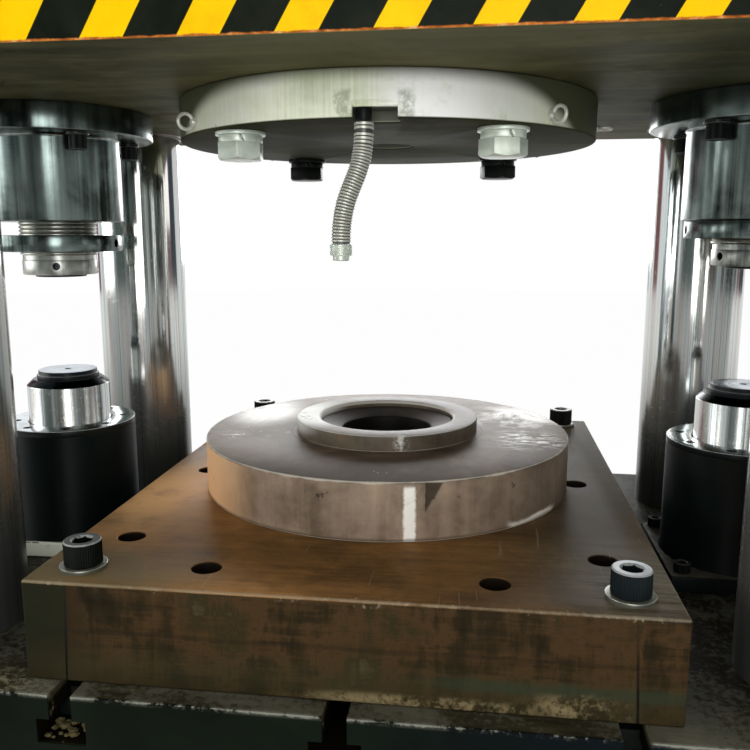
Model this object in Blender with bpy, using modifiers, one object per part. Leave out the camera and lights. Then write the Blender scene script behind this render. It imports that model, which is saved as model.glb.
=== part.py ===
"""Four-column hydraulic press.

A T-slotted table on a bed, four columns, a moving slide with a round platen under it, a crown
with the main cylinder on top, and on each side an adjustable screw stop over a buffer cylinder.
Metres, +Z up, X across the press, Y from front to back. The origin is on the floor at the centre.
"""
import math

import bmesh
import bpy
from mathutils import Matrix, Vector

# Fits between pieces
SEAT_GAP = 0.0003
OVERRUN = 0.020
JOIN_DEPTH = 0.002
MERGE_DISTANCE = 0.00005

# Columns
COLUMN_PITCH_X_SHARE = 0.7638889
COLUMN_PITCH_Y_SHARE = 0.6632444
COLUMN_DIAMETER = 0.172
COLUMN_END_DIAMETER = 0.150
COLUMN_END_CHAMFER = 0.005
COLUMN_SIDES = 24
COLUMN_END_LENGTH = 0.015
NUT_ACROSS_FLATS = 0.225
NUT_HEIGHT = 0.105
FOOT_NUT_DIAMETER = 0.230
FOOT_NUT_HEIGHT = 0.100

# Bed
BED_WIDTH = 1.440
BED_DEPTH = 0.974
BED_HEIGHT = 0.660
SHOULDER_DEPTH = 0.060
POCKET_HEIGHT = 0.150
POCKET_WIDTH = 0.260
BAY_WIDTH = 0.460
BAY_SILL = 0.120
BAY_HEIGHT = 0.320
BAY_CORNER_RADIUS = 0.040
BEAM_EDGE = 0.006

# Table
TABLE_THICKNESS = 0.100
SLOT_PITCH_SHARE = 0.4266667
SLOT_WIDTH = 0.028
SLOT_THROAT_DEPTH = 0.031
SLOT_TEE_WIDTH = 0.060
SLOT_TEE_HEIGHT = 0.030
SLOT_OFFSETS = (-1, 0, 1)

# Die plate and what holds it
PLATE_WIDTH_SHARE = 0.6818182
PLATE_DEPTH_SHARE = 0.9383984
PLATE_THICKNESS = 0.124
PLATE_EDGE = 0.002
PLATE_SCREW_Y_SHARE = 0.4496718
PLATE_SCREW_HOLE_DIAMETER = 0.033
PLATE_HOLE_DIAMETER = 0.036
PLATE_SIDE_HOLE_X_SHARE = 0.4066667
PLATE_SIDE_HOLE_Y_SHARE = 0.3380744
PLATE_END_HOLE_X_SHARE = 0.2293333
PLATE_END_HOLE_Y_SHARE = 0.4310722
HOLE_SIDES = 10
SCREW_DIAMETER = 0.030
SCREW_END_DIAMETER = 0.024
SCREW_STEP_HEIGHT = 0.005
SCREW_HEAD_DIAMETER = 0.045
SCREW_HEAD_HEIGHT = 0.030
SCREW_HEAD_EDGE = 0.0015
SCREW_SOCKET_FLATS = 0.022
SCREW_SOCKET_DEPTH = 0.016
SCREW_WASHER_DIAMETER = 0.056
SCREW_WASHER_THICKNESS = 0.005
SCREW_SIDES = 16
TEE_NUT_WIDTH = 0.058
TEE_NUT_NECK_WIDTH = 0.027
TEE_NUT_NECK_HEIGHT = 0.012
TEE_NUT_HEIGHT = 0.027
TEE_NUT_LENGTH = 0.050

# Lower die
DIE_DISC_DIAMETER_SHARE = 0.7733333
DIE_DISC_HEIGHT = 0.082
DIE_DISC_EDGE = 0.002
DIE_DISC_BORE_DIAMETER = 0.144
DIE_SPIGOT_HEIGHT = 0.015
DIE_SPIGOT_CLEARANCE = 0.0005
DIE_MOUTH_DIAMETER = 0.208
DIE_MOUTH_DEPTH = 0.011
DIE_DISC_SIDES = 48
DIE_RING_DIAMETER = 0.292
DIE_RING_HEIGHT = 0.024
DIE_RING_BORE_DIAMETER = 0.214
DIE_RING_CHAMFER = 0.004

# Slide
DAYLIGHT = 0.711
SLIDE_DEPTH_SHARE = 0.9609856
SLIDE_HEIGHT = 0.450
SLIDE_FALL = 0.144
SLIDE_RISE = 0.300
BUSH_DIAMETER = 0.205
BUSH_FLANGE_DIAMETER = 0.262
BUSH_FLANGE_THICKNESS = 0.030

# Platen under the slide
PLATEN_DIAMETER_SHARE = 0.5654545
PLATEN_THICKNESS = 0.058
PLATEN_EDGE = 0.003
PLATEN_BORE_DIAMETER = 0.078
PLATEN_SIDES = 48
PLATEN_BOLT_X_SHARE = 0.2765273
PLATEN_BOLT_Y_SHARE = 0.3295820
PLATEN_BOLT_HOLE_DIAMETER = 0.039
NOTCH_CENTRE_X = 0.021
NOTCH_WIDTH = 0.054
NOTCH_HEIGHT = 0.014
NOTCH_DEPTH = 0.046
BOLT_DIAMETER = 0.036
BOLT_ACROSS_FLATS = 0.055
BOLT_HEAD_HEIGHT = 0.0225
BOLT_SPRING_WASHER_DIAMETER = 0.058
BOLT_SPRING_WASHER_THICKNESS = 0.009
BOLT_WASHER_DIAMETER = 0.066
BOLT_WASHER_THICKNESS = 0.005
BOLT_GRIP_IN_SLIDE = 0.050
BOLT_SIDES = 12

# Eyebolts in the platen's rim
EYE_WIRE_DIAMETER = 0.006
EYE_RING_DIAMETER = 0.019
EYE_COLLAR_SIDES = 8
EYE_RING_SIDES = 12
EYE_WIRE_SIDES = 6
EYE_COLLAR_DIAMETER = 0.013
EYE_COLLAR_THICKNESS = 0.003
LEFT_EYE_HEIGHT = 0.044
RIGHT_EYE_HEIGHT = 0.022

# Conduit out of the platen's notch
CONDUIT_DIAMETER = 0.0235
CONDUIT_RESOLUTION = 3
CONDUIT_NIPPLE_DIAMETER = 0.020
CONDUIT_NIPPLE_HEIGHT = 0.016
CONNECTOR_SLEEVE_DIAMETER = 0.027
CONNECTOR_SLEEVE_LENGTH = 0.014
CONNECTOR_NOSE_DIAMETER = 0.020
CONNECTOR_NOSE_LENGTH = 0.006
CONNECTOR_SIDES = 10
CONDUIT_X = 0.0067
CONDUIT_SETBACK = 0.014
CONDUIT_ROUTE = (
    (0.0000, 0.0000, 0.0000),
    (0.0000, 0.0000, -0.0080),
    (-0.0002, 0.0000, -0.0170),
    (-0.0009, -0.0003, -0.0270),
    (-0.0022, -0.0010, -0.0370),
    (-0.0042, -0.0020, -0.0465),
    (-0.0068, -0.0032, -0.0555),
    (-0.0099, -0.0046, -0.0640),
    (-0.0135, -0.0060, -0.0730),
    (-0.0174, -0.0073, -0.0830),
    (-0.0210, -0.0083, -0.0940),
    (-0.0238, -0.0090, -0.1060),
    (-0.0256, -0.0094, -0.1180),
    (-0.0265, -0.0096, -0.1300),
    (-0.0267, -0.0096, -0.1420),
)

# Stops on the slide
BARREL_FLANGE_DIAMETER = 0.316
BARREL_FLANGE_THICKNESS = 0.040
BARREL_DIAMETER = 0.210
BARREL_LENGTH = 0.171
BARREL_EDGE = 0.003
BARREL_SCREW_CIRCLE = 0.254
BARREL_SCREW_COUNT = 4
BARREL_SCREW_START_DEGREES = 45.0
BARREL_SCREW_HEAD_DIAMETER = 0.0265
BARREL_SCREW_HEAD_HEIGHT = 0.022
BARREL_SCREW_WASHER_DIAMETER = 0.034
BARREL_SCREW_WASHER_THICKNESS = 0.003
BARREL_SCREW_SIDES = 8
STOP_SCREW_DIAMETER = 0.122
STOP_SCREW_LENGTH = 0.236
STOP_SCREW_EDGE = 0.002
STOP_SIDES = 24
COLLAR_DIAMETER = 0.118
COLLAR_HEIGHT = 0.024
TOMMY_HOLE_DIAMETER = 0.012
TOMMY_HOLE_DEPTH = 0.025
TOMMY_HOLE_COUNT = 4
TOMMY_HOLE_START_DEGREES = -68.0
TOMMY_HOLE_SIDES = 8
STOP_REACH_LEFT = 0.256
STOP_REACH_RIGHT = 0.237
STRIKE_PAD_DIAMETER = 0.080
STRIKE_PAD_THICKNESS = 0.008
STRIKE_PAD_STAND_OUT = 0.004
STRIKE_PAD_EDGE = 0.001
LOCK_NUT_DIAMETER = 0.200
LOCK_NUT_HEIGHT = 0.026
LOCK_NUT_EDGE = 0.0015
LOCK_NUT_GAP_LEFT = 0.0215
SPANNER_HOLE_DIAMETER = 0.014
SPANNER_HOLE_DEPTH = 0.018

# Buffer cylinders on the table
BUFFER_BASE_WIDTH = 0.230
BUFFER_BASE_THICKNESS = 0.025
BUFFER_BASE_EDGE = 0.002
BUFFER_BASE_SCREW_INSET = 0.019
BUFFER_BASE_SCREW_DIAMETER = 0.024
BUFFER_BASE_SCREW_HEIGHT = 0.016
BUFFER_DIAMETER = 0.212
BUFFER_HEIGHT = 0.208
BUFFER_EDGE = 0.003
BUFFER_FLOOR = 0.010
BUFFER_SIDES = 24
GLAND_THICKNESS = 0.010
PLUNGER_DIAMETER = 0.133
PLUNGER_SHOULDER_HEIGHT = 0.270
PLUNGER_TOP_DIAMETER = 0.112
PLUNGER_TOP_HEIGHT = 0.280
PISTON_DIAMETER = 0.160
PISTON_HEIGHT = 0.040
BUFFER_STROKE = 0.070
WEAR_PAD_DIAMETER = 0.094
WEAR_PAD_THICKNESS = 0.014
WEAR_PAD_RIM_DIAMETER = 0.100
WEAR_PAD_RIM_HEIGHT = 0.007
WEAR_PAD_EDGE = 0.001
WEAR_PAD_HOLE_DIAMETER = 0.010
WEAR_PAD_HOLE_DEPTH = 0.006

# Crown and main cylinder
HEADROOM = 0.170
CROWN_HEIGHT = 0.480
CYLINDER_DIAMETER = 0.440
CYLINDER_SHOULDER_DIAMETER = 0.500
CYLINDER_SHOULDER_HEIGHT = 0.050
CYLINDER_NECK_DIAMETER = 0.400
CYLINDER_BORE_DIAMETER = 0.330
CYLINDER_END_WALL = 0.060
CYLINDER_SIDES = 32
RING_NUT_DIAMETER = 0.520
RING_NUT_HEIGHT = 0.080
RING_NUT_SLOT_WIDTH = 0.036
RING_NUT_SLOT_DEPTH = 0.022
RING_NUT_SLOT_COUNT = 6
HEAD_FLANGE_DIAMETER = 0.380
HEAD_FLANGE_THICKNESS = 0.030
HEAD_BODY_DIAMETER = 0.280
HEAD_BODY_HEIGHT = 0.110
HEAD_EDGE = 0.010
HEAD_PORT_DIAMETER = 0.090
HEAD_PORT_LENGTH = 0.060
HEAD_PORT_HEIGHT = 0.060
RAM_DIAMETER = 0.300
RAM_PISTON_HEIGHT = 0.080
RAM_PISTON_MARGIN = 0.015
RAM_FOOT_DIAMETER = 0.340
RAM_FOOT_HEIGHT = 0.015
RAM_FLANGE_DIAMETER = 0.440
RAM_FLANGE_HEIGHT = 0.050
CYLINDER_GLAND_DIAMETER = 0.420
CYLINDER_GLAND_HEIGHT = 0.040

# Places and sizes that follow from the bed
COLUMN_PITCH_X = BED_WIDTH * COLUMN_PITCH_X_SHARE
COLUMN_PITCH_Y = BED_DEPTH * COLUMN_PITCH_Y_SHARE
STOP_X = COLUMN_PITCH_X / 2
PLATE_WIDTH = COLUMN_PITCH_X * PLATE_WIDTH_SHARE
PLATE_DEPTH = BED_DEPTH * PLATE_DEPTH_SHARE
SLOT_PITCH = PLATE_WIDTH * SLOT_PITCH_SHARE
PLATE_SCREW_Y = PLATE_DEPTH * PLATE_SCREW_Y_SHARE
PLATE_SIDE_HOLE_X = PLATE_WIDTH * PLATE_SIDE_HOLE_X_SHARE
PLATE_SIDE_HOLE_Y = PLATE_DEPTH * PLATE_SIDE_HOLE_Y_SHARE
PLATE_END_HOLE_X = PLATE_WIDTH * PLATE_END_HOLE_X_SHARE
PLATE_END_HOLE_Y = PLATE_DEPTH * PLATE_END_HOLE_Y_SHARE
DIE_DISC_DIAMETER = PLATE_WIDTH * DIE_DISC_DIAMETER_SHARE
SLIDE_WIDTH = BED_WIDTH
SLIDE_DEPTH = BED_DEPTH * SLIDE_DEPTH_SHARE
CROWN_WIDTH = SLIDE_WIDTH
CROWN_DEPTH = SLIDE_DEPTH
PLATEN_DIAMETER = COLUMN_PITCH_X * PLATEN_DIAMETER_SHARE
PLATEN_BOLT_X = PLATEN_DIAMETER * PLATEN_BOLT_X_SHARE
PLATEN_BOLT_Y = PLATEN_DIAMETER * PLATEN_BOLT_Y_SHARE

# Heights that follow
TABLE_TOP = BED_HEIGHT + TABLE_THICKNESS
PLATE_TOP = TABLE_TOP + PLATE_THICKNESS
SLIDE_BOTTOM = TABLE_TOP + DAYLIGHT
SLIDE_TOP = SLIDE_BOTTOM + SLIDE_HEIGHT
PLATEN_BOTTOM = SLIDE_BOTTOM - PLATEN_THICKNESS
CROWN_BOTTOM = SLIDE_TOP + SLIDE_RISE + HEADROOM
CROWN_TOP = CROWN_BOTTOM + CROWN_HEIGHT
CYLINDER_BOTTOM = CROWN_BOTTOM - CYLINDER_SHOULDER_HEIGHT
PISTON_BOTTOM = CYLINDER_BOTTOM + SLIDE_FALL + RAM_PISTON_MARGIN
PISTON_TOP = PISTON_BOTTOM + RAM_PISTON_HEIGHT
BORE_TOP = PISTON_TOP + SLIDE_RISE + RAM_PISTON_MARGIN
CYLINDER_TOP = BORE_TOP + CYLINDER_END_WALL
COLUMN_TOP = CROWN_TOP + NUT_HEIGHT + COLUMN_END_LENGTH
FOOT_NUT_TOP = POCKET_HEIGHT - SEAT_GAP
COLUMN_BOTTOM = FOOT_NUT_TOP - FOOT_NUT_HEIGHT - COLUMN_END_LENGTH

SIDES = {"left": -1, "right": 1}
ENDS = {"front": -1, "rear": 1}

PRESS = "hydraulic_press"
CUTTERS = "cutters"


def clear_scene():
    """Remove every object of the open file."""
    for old in list(bpy.data.objects):
        bpy.data.objects.remove(old, do_unlink=True)


def collection(name):
    """Return the named collection, linked to the scene."""
    found = bpy.data.collections.get(name)
    if found is None:
        found = bpy.data.collections.new(name)
        bpy.context.scene.collection.children.link(found)
    return found


def finish(name, colour, roughness, metallic):
    """Return a plain material with a colour, a roughness and a metallic value."""
    material = bpy.data.materials.get(name)
    if material is None:
        material = bpy.data.materials.new(name)
        material.use_nodes = True
        shader = material.node_tree.nodes["Principled BSDF"]
        shader.inputs["Base Color"].default_value = (*colour, 1.0)
        shader.inputs["Roughness"].default_value = roughness
        shader.inputs["Metallic"].default_value = metallic
        material.diffuse_color = (*colour, 1.0)
    return material


def dark_green_paint():
    """Old dark machine paint of the beams."""
    return finish("dark_green_paint", (0.03, 0.055, 0.05), 0.45, 0.0)


def bare_table_steel():
    """Oily machined steel of the table."""
    return finish("bare_table_steel", (0.16, 0.15, 0.13), 0.45, 0.8)


def column_chrome():
    """Hard chrome on columns, plungers and the ram."""
    return finish("column_chrome", (0.72, 0.74, 0.75), 0.12, 1.0)


def rusty_plate_steel():
    """Brown, rusty rolled steel of the die plate."""
    return finish("rusty_plate_steel", (0.22, 0.13, 0.07), 0.6, 0.5)


def die_steel():
    """Grey-brown turned steel of the lower die."""
    return finish("die_steel", (0.30, 0.27, 0.23), 0.42, 0.8)


def platen_paint():
    """Pale grey-green paint on the platen."""
    return finish("platen_paint", (0.52, 0.55, 0.47), 0.55, 0.0)


def zinc_plate():
    """Bright zinc on bolts and washers."""
    return finish("zinc_plate", (0.62, 0.64, 0.63), 0.35, 0.9)


def black_oxide():
    """Black oxide on socket screws."""
    return finish("black_oxide", (0.03, 0.03, 0.03), 0.4, 0.6)


def black_gloss_paint():
    """Black gloss paint of the buffer cylinders."""
    return finish("black_gloss_paint", (0.01, 0.015, 0.016), 0.2, 0.0)


def dark_turned_steel():
    """Dark polished steel of the stops."""
    return finish("dark_turned_steel", (0.20, 0.21, 0.20), 0.25, 1.0)


def bronze():
    """Cast bronze of the guide bushes."""
    return finish("bronze", (0.45, 0.30, 0.14), 0.4, 1.0)


def galvanised_strip():
    """Wound steel strip of the conduit."""
    return finish("galvanised_strip", (0.55, 0.57, 0.55), 0.5, 0.6)


def add_object(name, mesh, place, group=PRESS):
    """Link an object for the mesh at a place and return it."""
    made = bpy.data.objects.new(name, mesh)
    made.location = place
    collection(group).objects.link(made)
    if group == CUTTERS:
        made.hide_render = True
        made.display_type = "WIRE"
    return made


def mesh_from(name, shape):
    """Turn a bmesh into a mesh with its faces pointing out."""
    bmesh.ops.recalc_face_normals(shape, faces=shape.faces[:])
    mesh = bpy.data.meshes.new(name)
    shape.to_mesh(mesh)
    shape.free()
    return mesh


def block(name, size, centre, place=(0, 0, 0), edge=0, group=PRESS, edge_segments=1, upright_only=False):
    """Make a box of the given size, with bevelled edges where edge is set."""
    shape = bmesh.new()
    bmesh.ops.create_cube(shape, size=1, matrix=Matrix.Translation(centre) @ Matrix.Diagonal((*size, 1)))
    if edge:
        chosen = shape.edges[:]
        if upright_only:
            chosen = [e for e in shape.edges if abs(e.verts[0].co.y - e.verts[1].co.y) > edge]
        bmesh.ops.bevel(shape, geom=chosen, offset=edge, segments=edge_segments, affect="EDGES", profile=0.5)
    return add_object(name, mesh_from(name, shape), place, group)


def rods(name, centres, radius, low, high, sides, place=(0, 0, 0), group=CUTTERS, turn=0):
    """Make upright round rods between two heights, one at each centre."""
    shape = bmesh.new()
    for x, y in centres:
        matrix = Matrix.Translation((x, y, (low + high) / 2)) @ Matrix.Rotation(turn, 4, "Z")
        bmesh.ops.create_cone(shape, cap_ends=True, segments=sides, radius1=radius, radius2=radius,
                              depth=high - low, matrix=matrix)
    return add_object(name, mesh_from(name, shape), place, group)


def spokes(name, angles, radius, inner, outer, height, sides, place):
    """Make level round rods that point outwards at the given angles, as cutters."""
    shape = bmesh.new()
    for angle in angles:
        matrix = (Matrix.Rotation(angle, 4, "Z") @ Matrix.Translation(((inner + outer) / 2, 0, height))
                  @ Matrix.Rotation(math.pi / 2, 4, "Y"))
        bmesh.ops.create_cone(shape, cap_ends=True, segments=sides, radius1=radius, radius2=radius,
                              depth=outer - inner, matrix=matrix)
    return add_object(name, mesh_from(name, shape), place, CUTTERS)


def turned(name, profile, place, sides, ring=False, group=PRESS):
    """Spin a profile of (radius, height) points round the Z axis, outer side from top to bottom."""
    mesh = bpy.data.meshes.new(name)
    points = [(radius, 0, height) for radius, height in profile]
    lines = [(i, i + 1) for i in range(len(points) - 1)]
    if ring:
        lines.append((len(points) - 1, 0))
    mesh.from_pydata(points, lines, [])
    made = add_object(name, mesh, place, group)
    screw = made.modifiers.new("turn", "SCREW")
    screw.angle = math.tau
    screw.steps = sides
    screw.render_steps = sides
    screw.use_merge_vertices = True
    screw.merge_threshold = MERGE_DISTANCE
    screw.use_smooth_shade = True
    weld = made.modifiers.new("close", "WELD")
    weld.merge_threshold = MERGE_DISTANCE
    return made


def combine(target, tool, operation="DIFFERENCE"):
    """Cut the tool from the target, or join it on."""
    change = target.modifiers.new(tool.name, "BOOLEAN")
    change.operation = operation
    change.solver = "EXACT"
    change.object = tool


def dress(made, material):
    """Give the object its material."""
    made.data.materials.clear()
    made.data.materials.append(material)
    return made


def clear_radius(radius, sides):
    """Radius of a bore with this many sides in which a round piece of the radius turns freely."""
    return radius / math.cos(math.pi / sides) + SEAT_GAP


def column_places():
    """Return the name and the centre of each column."""
    return {f"{end}_{side}": (SIDES[side] * COLUMN_PITCH_X / 2, ENDS[end] * COLUMN_PITCH_Y / 2)
            for end in ENDS for side in SIDES}


def corner_places(x, y):
    """Return the name and the centre of each corner of a rectangle of the half sizes."""
    return {f"{end}_{side}": (SIDES[side] * x, ENDS[end] * y) for end in ENDS for side in SIDES}


def circle_places(diameter, count, start_degrees=0.0, mirror=1):
    """Return points spaced evenly on a circle."""
    angles = [math.radians(start_degrees) + math.tau * i / count for i in range(count)]
    return [(mirror * diameter / 2 * math.cos(a), diameter / 2 * math.sin(a)) for a in angles]


def build_bed():
    """Bed weldment with column bores, pockets for the foot nuts and a bay from front to back."""
    bed = block("bed", (BED_WIDTH, BED_DEPTH, BED_HEIGHT), (0, 0, BED_HEIGHT / 2))
    bay = block("bay_cutter", (BAY_WIDTH, BED_DEPTH + 2 * OVERRUN, BAY_HEIGHT),
                (0, 0, BAY_SILL + BAY_HEIGHT / 2), edge=BAY_CORNER_RADIUS, group=CUTTERS,
                edge_segments=3, upright_only=True)
    combine(bed, bay)
    for name, (x, y) in column_places().items():
        outward = math.copysign(1, x)
        inner = x - outward * POCKET_WIDTH / 2
        outer = outward * (BED_WIDTH / 2 + OVERRUN)
        pocket = block(f"pocket_cutter_{name}", (abs(outer - inner), POCKET_WIDTH, POCKET_HEIGHT + OVERRUN),
                       ((inner + outer) / 2, y, (POCKET_HEIGHT - OVERRUN) / 2), group=CUTTERS)
        combine(bed, pocket)
    centres = list(column_places().values())
    combine(bed, rods("bed_bore_cutter", centres, COLUMN_END_DIAMETER / 2 + SEAT_GAP,
                      0, BED_HEIGHT + OVERRUN, COLUMN_SIDES))
    combine(bed, rods("bed_shoulder_cutter", centres, COLUMN_DIAMETER / 2 + SEAT_GAP,
                      BED_HEIGHT - SHOULDER_DEPTH, BED_HEIGHT + OVERRUN, COLUMN_SIDES))
    return dress(bed, dark_green_paint())


def build_table():
    """Table plate with three T-slots from front to back and holes for the columns."""
    height = TABLE_THICKNESS - SEAT_GAP
    table = block("table", (BED_WIDTH, BED_DEPTH, height), (0, 0, TABLE_TOP - height / 2))
    length = BED_DEPTH + 2 * OVERRUN
    for offset in SLOT_OFFSETS:
        x = offset * SLOT_PITCH
        throat = block(f"throat_cutter_{offset}", (SLOT_WIDTH, length, SLOT_THROAT_DEPTH + OVERRUN),
                       (x, 0, TABLE_TOP + (OVERRUN - SLOT_THROAT_DEPTH) / 2), group=CUTTERS)
        tee = block(f"tee_cutter_{offset}", (SLOT_TEE_WIDTH, length, SLOT_TEE_HEIGHT),
                    (x, 0, TABLE_TOP - SLOT_THROAT_DEPTH - SLOT_TEE_HEIGHT / 2), group=CUTTERS)
        combine(table, throat)
        combine(table, tee)
    combine(table, rods("table_bore_cutter", column_places().values(), COLUMN_DIAMETER / 2 + SEAT_GAP,
                        BED_HEIGHT - OVERRUN, TABLE_TOP + OVERRUN, COLUMN_SIDES))
    return dress(table, bare_table_steel())


def build_columns():
    """Four stepped columns, each with its foot nut, and the nuts that hold the crown down."""
    end_radius = COLUMN_END_DIAMETER / 2
    radius = COLUMN_DIAMETER / 2
    crown_shoulder = CROWN_BOTTOM - SEAT_GAP
    bed_shoulder = BED_HEIGHT - SHOULDER_DEPTH + SEAT_GAP
    profile = [
        (0, COLUMN_TOP),
        (end_radius - COLUMN_END_CHAMFER, COLUMN_TOP),
        (end_radius, COLUMN_TOP - COLUMN_END_CHAMFER),
        (end_radius, crown_shoulder),
        (radius, crown_shoulder),
        (radius, bed_shoulder),
        (end_radius, bed_shoulder),
        (end_radius, FOOT_NUT_TOP),
        (FOOT_NUT_DIAMETER / 2, FOOT_NUT_TOP),
        (FOOT_NUT_DIAMETER / 2, FOOT_NUT_TOP - FOOT_NUT_HEIGHT),
        (end_radius, FOOT_NUT_TOP - FOOT_NUT_HEIGHT),
        (end_radius, COLUMN_BOTTOM),
        (0, COLUMN_BOTTOM),
    ]
    bore = rods("nut_bore_cutter", column_places().values(), end_radius + SEAT_GAP,
                CROWN_TOP - OVERRUN, COLUMN_TOP + OVERRUN, COLUMN_SIDES)
    for name, (x, y) in column_places().items():
        column = turned(f"column_{name}", profile, (x, y, 0), COLUMN_SIDES)
        dress(column, column_chrome())
        low = CROWN_TOP + SEAT_GAP
        nut = rods(f"column_nut_{name}", [(x, y)], NUT_ACROSS_FLATS / 2 / math.cos(math.pi / 6),
                   low, low + NUT_HEIGHT, 6, group=PRESS)
        combine(nut, bore)
        dress(nut, dark_turned_steel())


def build_crown():
    """Crown weldment with its column bores and the bore of the main cylinder."""
    crown = block("crown", (CROWN_WIDTH, CROWN_DEPTH, CROWN_HEIGHT), (0, 0, CROWN_BOTTOM + CROWN_HEIGHT / 2),
                  edge=BEAM_EDGE)
    combine(crown, rods("crown_bore_cutter", column_places().values(), COLUMN_END_DIAMETER / 2 + SEAT_GAP,
                        CROWN_BOTTOM - OVERRUN, CROWN_TOP + OVERRUN, COLUMN_SIDES))
    combine(crown, rods("crown_centre_cutter", [(0, 0)], CYLINDER_DIAMETER / 2 + SEAT_GAP,
                        CROWN_BOTTOM - OVERRUN, CROWN_TOP + OVERRUN, CYLINDER_SIDES))
    return dress(crown, dark_green_paint())


def build_main_cylinder():
    """Main cylinder hung in the crown, with its ring nut, head and gland."""
    outer = CYLINDER_DIAMETER / 2
    shoulder = CYLINDER_SHOULDER_DIAMETER / 2
    neck = CYLINDER_NECK_DIAMETER / 2
    bore = CYLINDER_BORE_DIAMETER / 2
    shoulder_top = CROWN_BOTTOM - SEAT_GAP
    nut_seat = CROWN_TOP
    cylinder = turned("main_cylinder", [
        (0, CYLINDER_TOP), (neck, CYLINDER_TOP), (neck, nut_seat), (outer, nut_seat),
        (outer, shoulder_top), (shoulder, shoulder_top), (shoulder, CYLINDER_BOTTOM),
        (bore, CYLINDER_BOTTOM), (bore, BORE_TOP), (0, BORE_TOP)], (0, 0, 0), CYLINDER_SIDES)
    dress(cylinder, dark_green_paint())

    nut_low = CROWN_TOP + SEAT_GAP
    nut_high = nut_low + RING_NUT_HEIGHT
    nut = turned("cylinder_nut", [
        (RING_NUT_DIAMETER / 2, nut_high), (RING_NUT_DIAMETER / 2, nut_low),
        (neck + SEAT_GAP, nut_low), (neck + SEAT_GAP, nut_high)], (0, 0, 0), CYLINDER_SIDES, ring=True)
    for i in range(RING_NUT_SLOT_COUNT):
        angle = math.tau * i / RING_NUT_SLOT_COUNT
        slot = block(f"nut_slot_cutter_{i}",
                     (RING_NUT_SLOT_DEPTH + OVERRUN, RING_NUT_SLOT_WIDTH, RING_NUT_HEIGHT + 2 * OVERRUN),
                     (RING_NUT_DIAMETER / 2 + (OVERRUN - RING_NUT_SLOT_DEPTH) / 2, 0, 0),
                     (0, 0, (nut_low + nut_high) / 2), group=CUTTERS)
        slot.rotation_euler = (0, 0, angle)
        combine(nut, slot)
    dress(nut, dark_turned_steel())

    low = CYLINDER_TOP + SEAT_GAP
    top = low + HEAD_FLANGE_THICKNESS + HEAD_BODY_HEIGHT
    head = turned("cylinder_head", [
        (0, top), (HEAD_BODY_DIAMETER / 2 - HEAD_EDGE, top), (HEAD_BODY_DIAMETER / 2, top - HEAD_EDGE),
        (HEAD_BODY_DIAMETER / 2, low + HEAD_FLANGE_THICKNESS),
        (HEAD_FLANGE_DIAMETER / 2, low + HEAD_FLANGE_THICKNESS),
        (HEAD_FLANGE_DIAMETER / 2, low), (0, low)], (0, 0, 0), CYLINDER_SIDES)
    port = spokes("port_joiner", [math.pi / 2], HEAD_PORT_DIAMETER / 2, 0,
                  HEAD_BODY_DIAMETER / 2 + HEAD_PORT_LENGTH, 0, HOLE_SIDES,
                  (0, 0, low + HEAD_FLANGE_THICKNESS + HEAD_PORT_HEIGHT))
    combine(head, port, "UNION")
    dress(head, dark_green_paint())

    gland_top = CYLINDER_BOTTOM - SEAT_GAP
    gland_low = gland_top - CYLINDER_GLAND_HEIGHT
    gland = turned("cylinder_gland", [
        (CYLINDER_GLAND_DIAMETER / 2, gland_top), (CYLINDER_GLAND_DIAMETER / 2, gland_low),
        (RAM_DIAMETER / 2 + SEAT_GAP, gland_low), (RAM_DIAMETER / 2 + SEAT_GAP, gland_top)],
        (0, 0, 0), CYLINDER_SIDES, ring=True)
    dress(gland, dark_turned_steel())


def build_ram():
    """Ram with its piston, and the flange that holds its foot to the slide."""
    foot_low = SLIDE_TOP + SEAT_GAP
    foot_top = foot_low + RAM_FOOT_HEIGHT
    piston = CYLINDER_BORE_DIAMETER / 2 - SEAT_GAP
    ram = turned("ram", [
        (0, PISTON_TOP), (piston, PISTON_TOP), (piston, PISTON_BOTTOM), (RAM_DIAMETER / 2, PISTON_BOTTOM),
        (RAM_DIAMETER / 2, foot_top), (RAM_FOOT_DIAMETER / 2, foot_top), (RAM_FOOT_DIAMETER / 2, foot_low),
        (0, foot_low)], (0, 0, 0), CYLINDER_SIDES)
    dress(ram, column_chrome())
    top = foot_low + RAM_FLANGE_HEIGHT
    flange = turned("ram_flange", [
        (RAM_FLANGE_DIAMETER / 2, top), (RAM_FLANGE_DIAMETER / 2, foot_low),
        (RAM_FOOT_DIAMETER / 2 + SEAT_GAP, foot_low), (RAM_FOOT_DIAMETER / 2 + SEAT_GAP, foot_top + SEAT_GAP),
        (RAM_DIAMETER / 2 + SEAT_GAP, foot_top + SEAT_GAP), (RAM_DIAMETER / 2 + SEAT_GAP, top)],
        (0, 0, 0), CYLINDER_SIDES, ring=True)
    dress(flange, dark_turned_steel())


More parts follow.
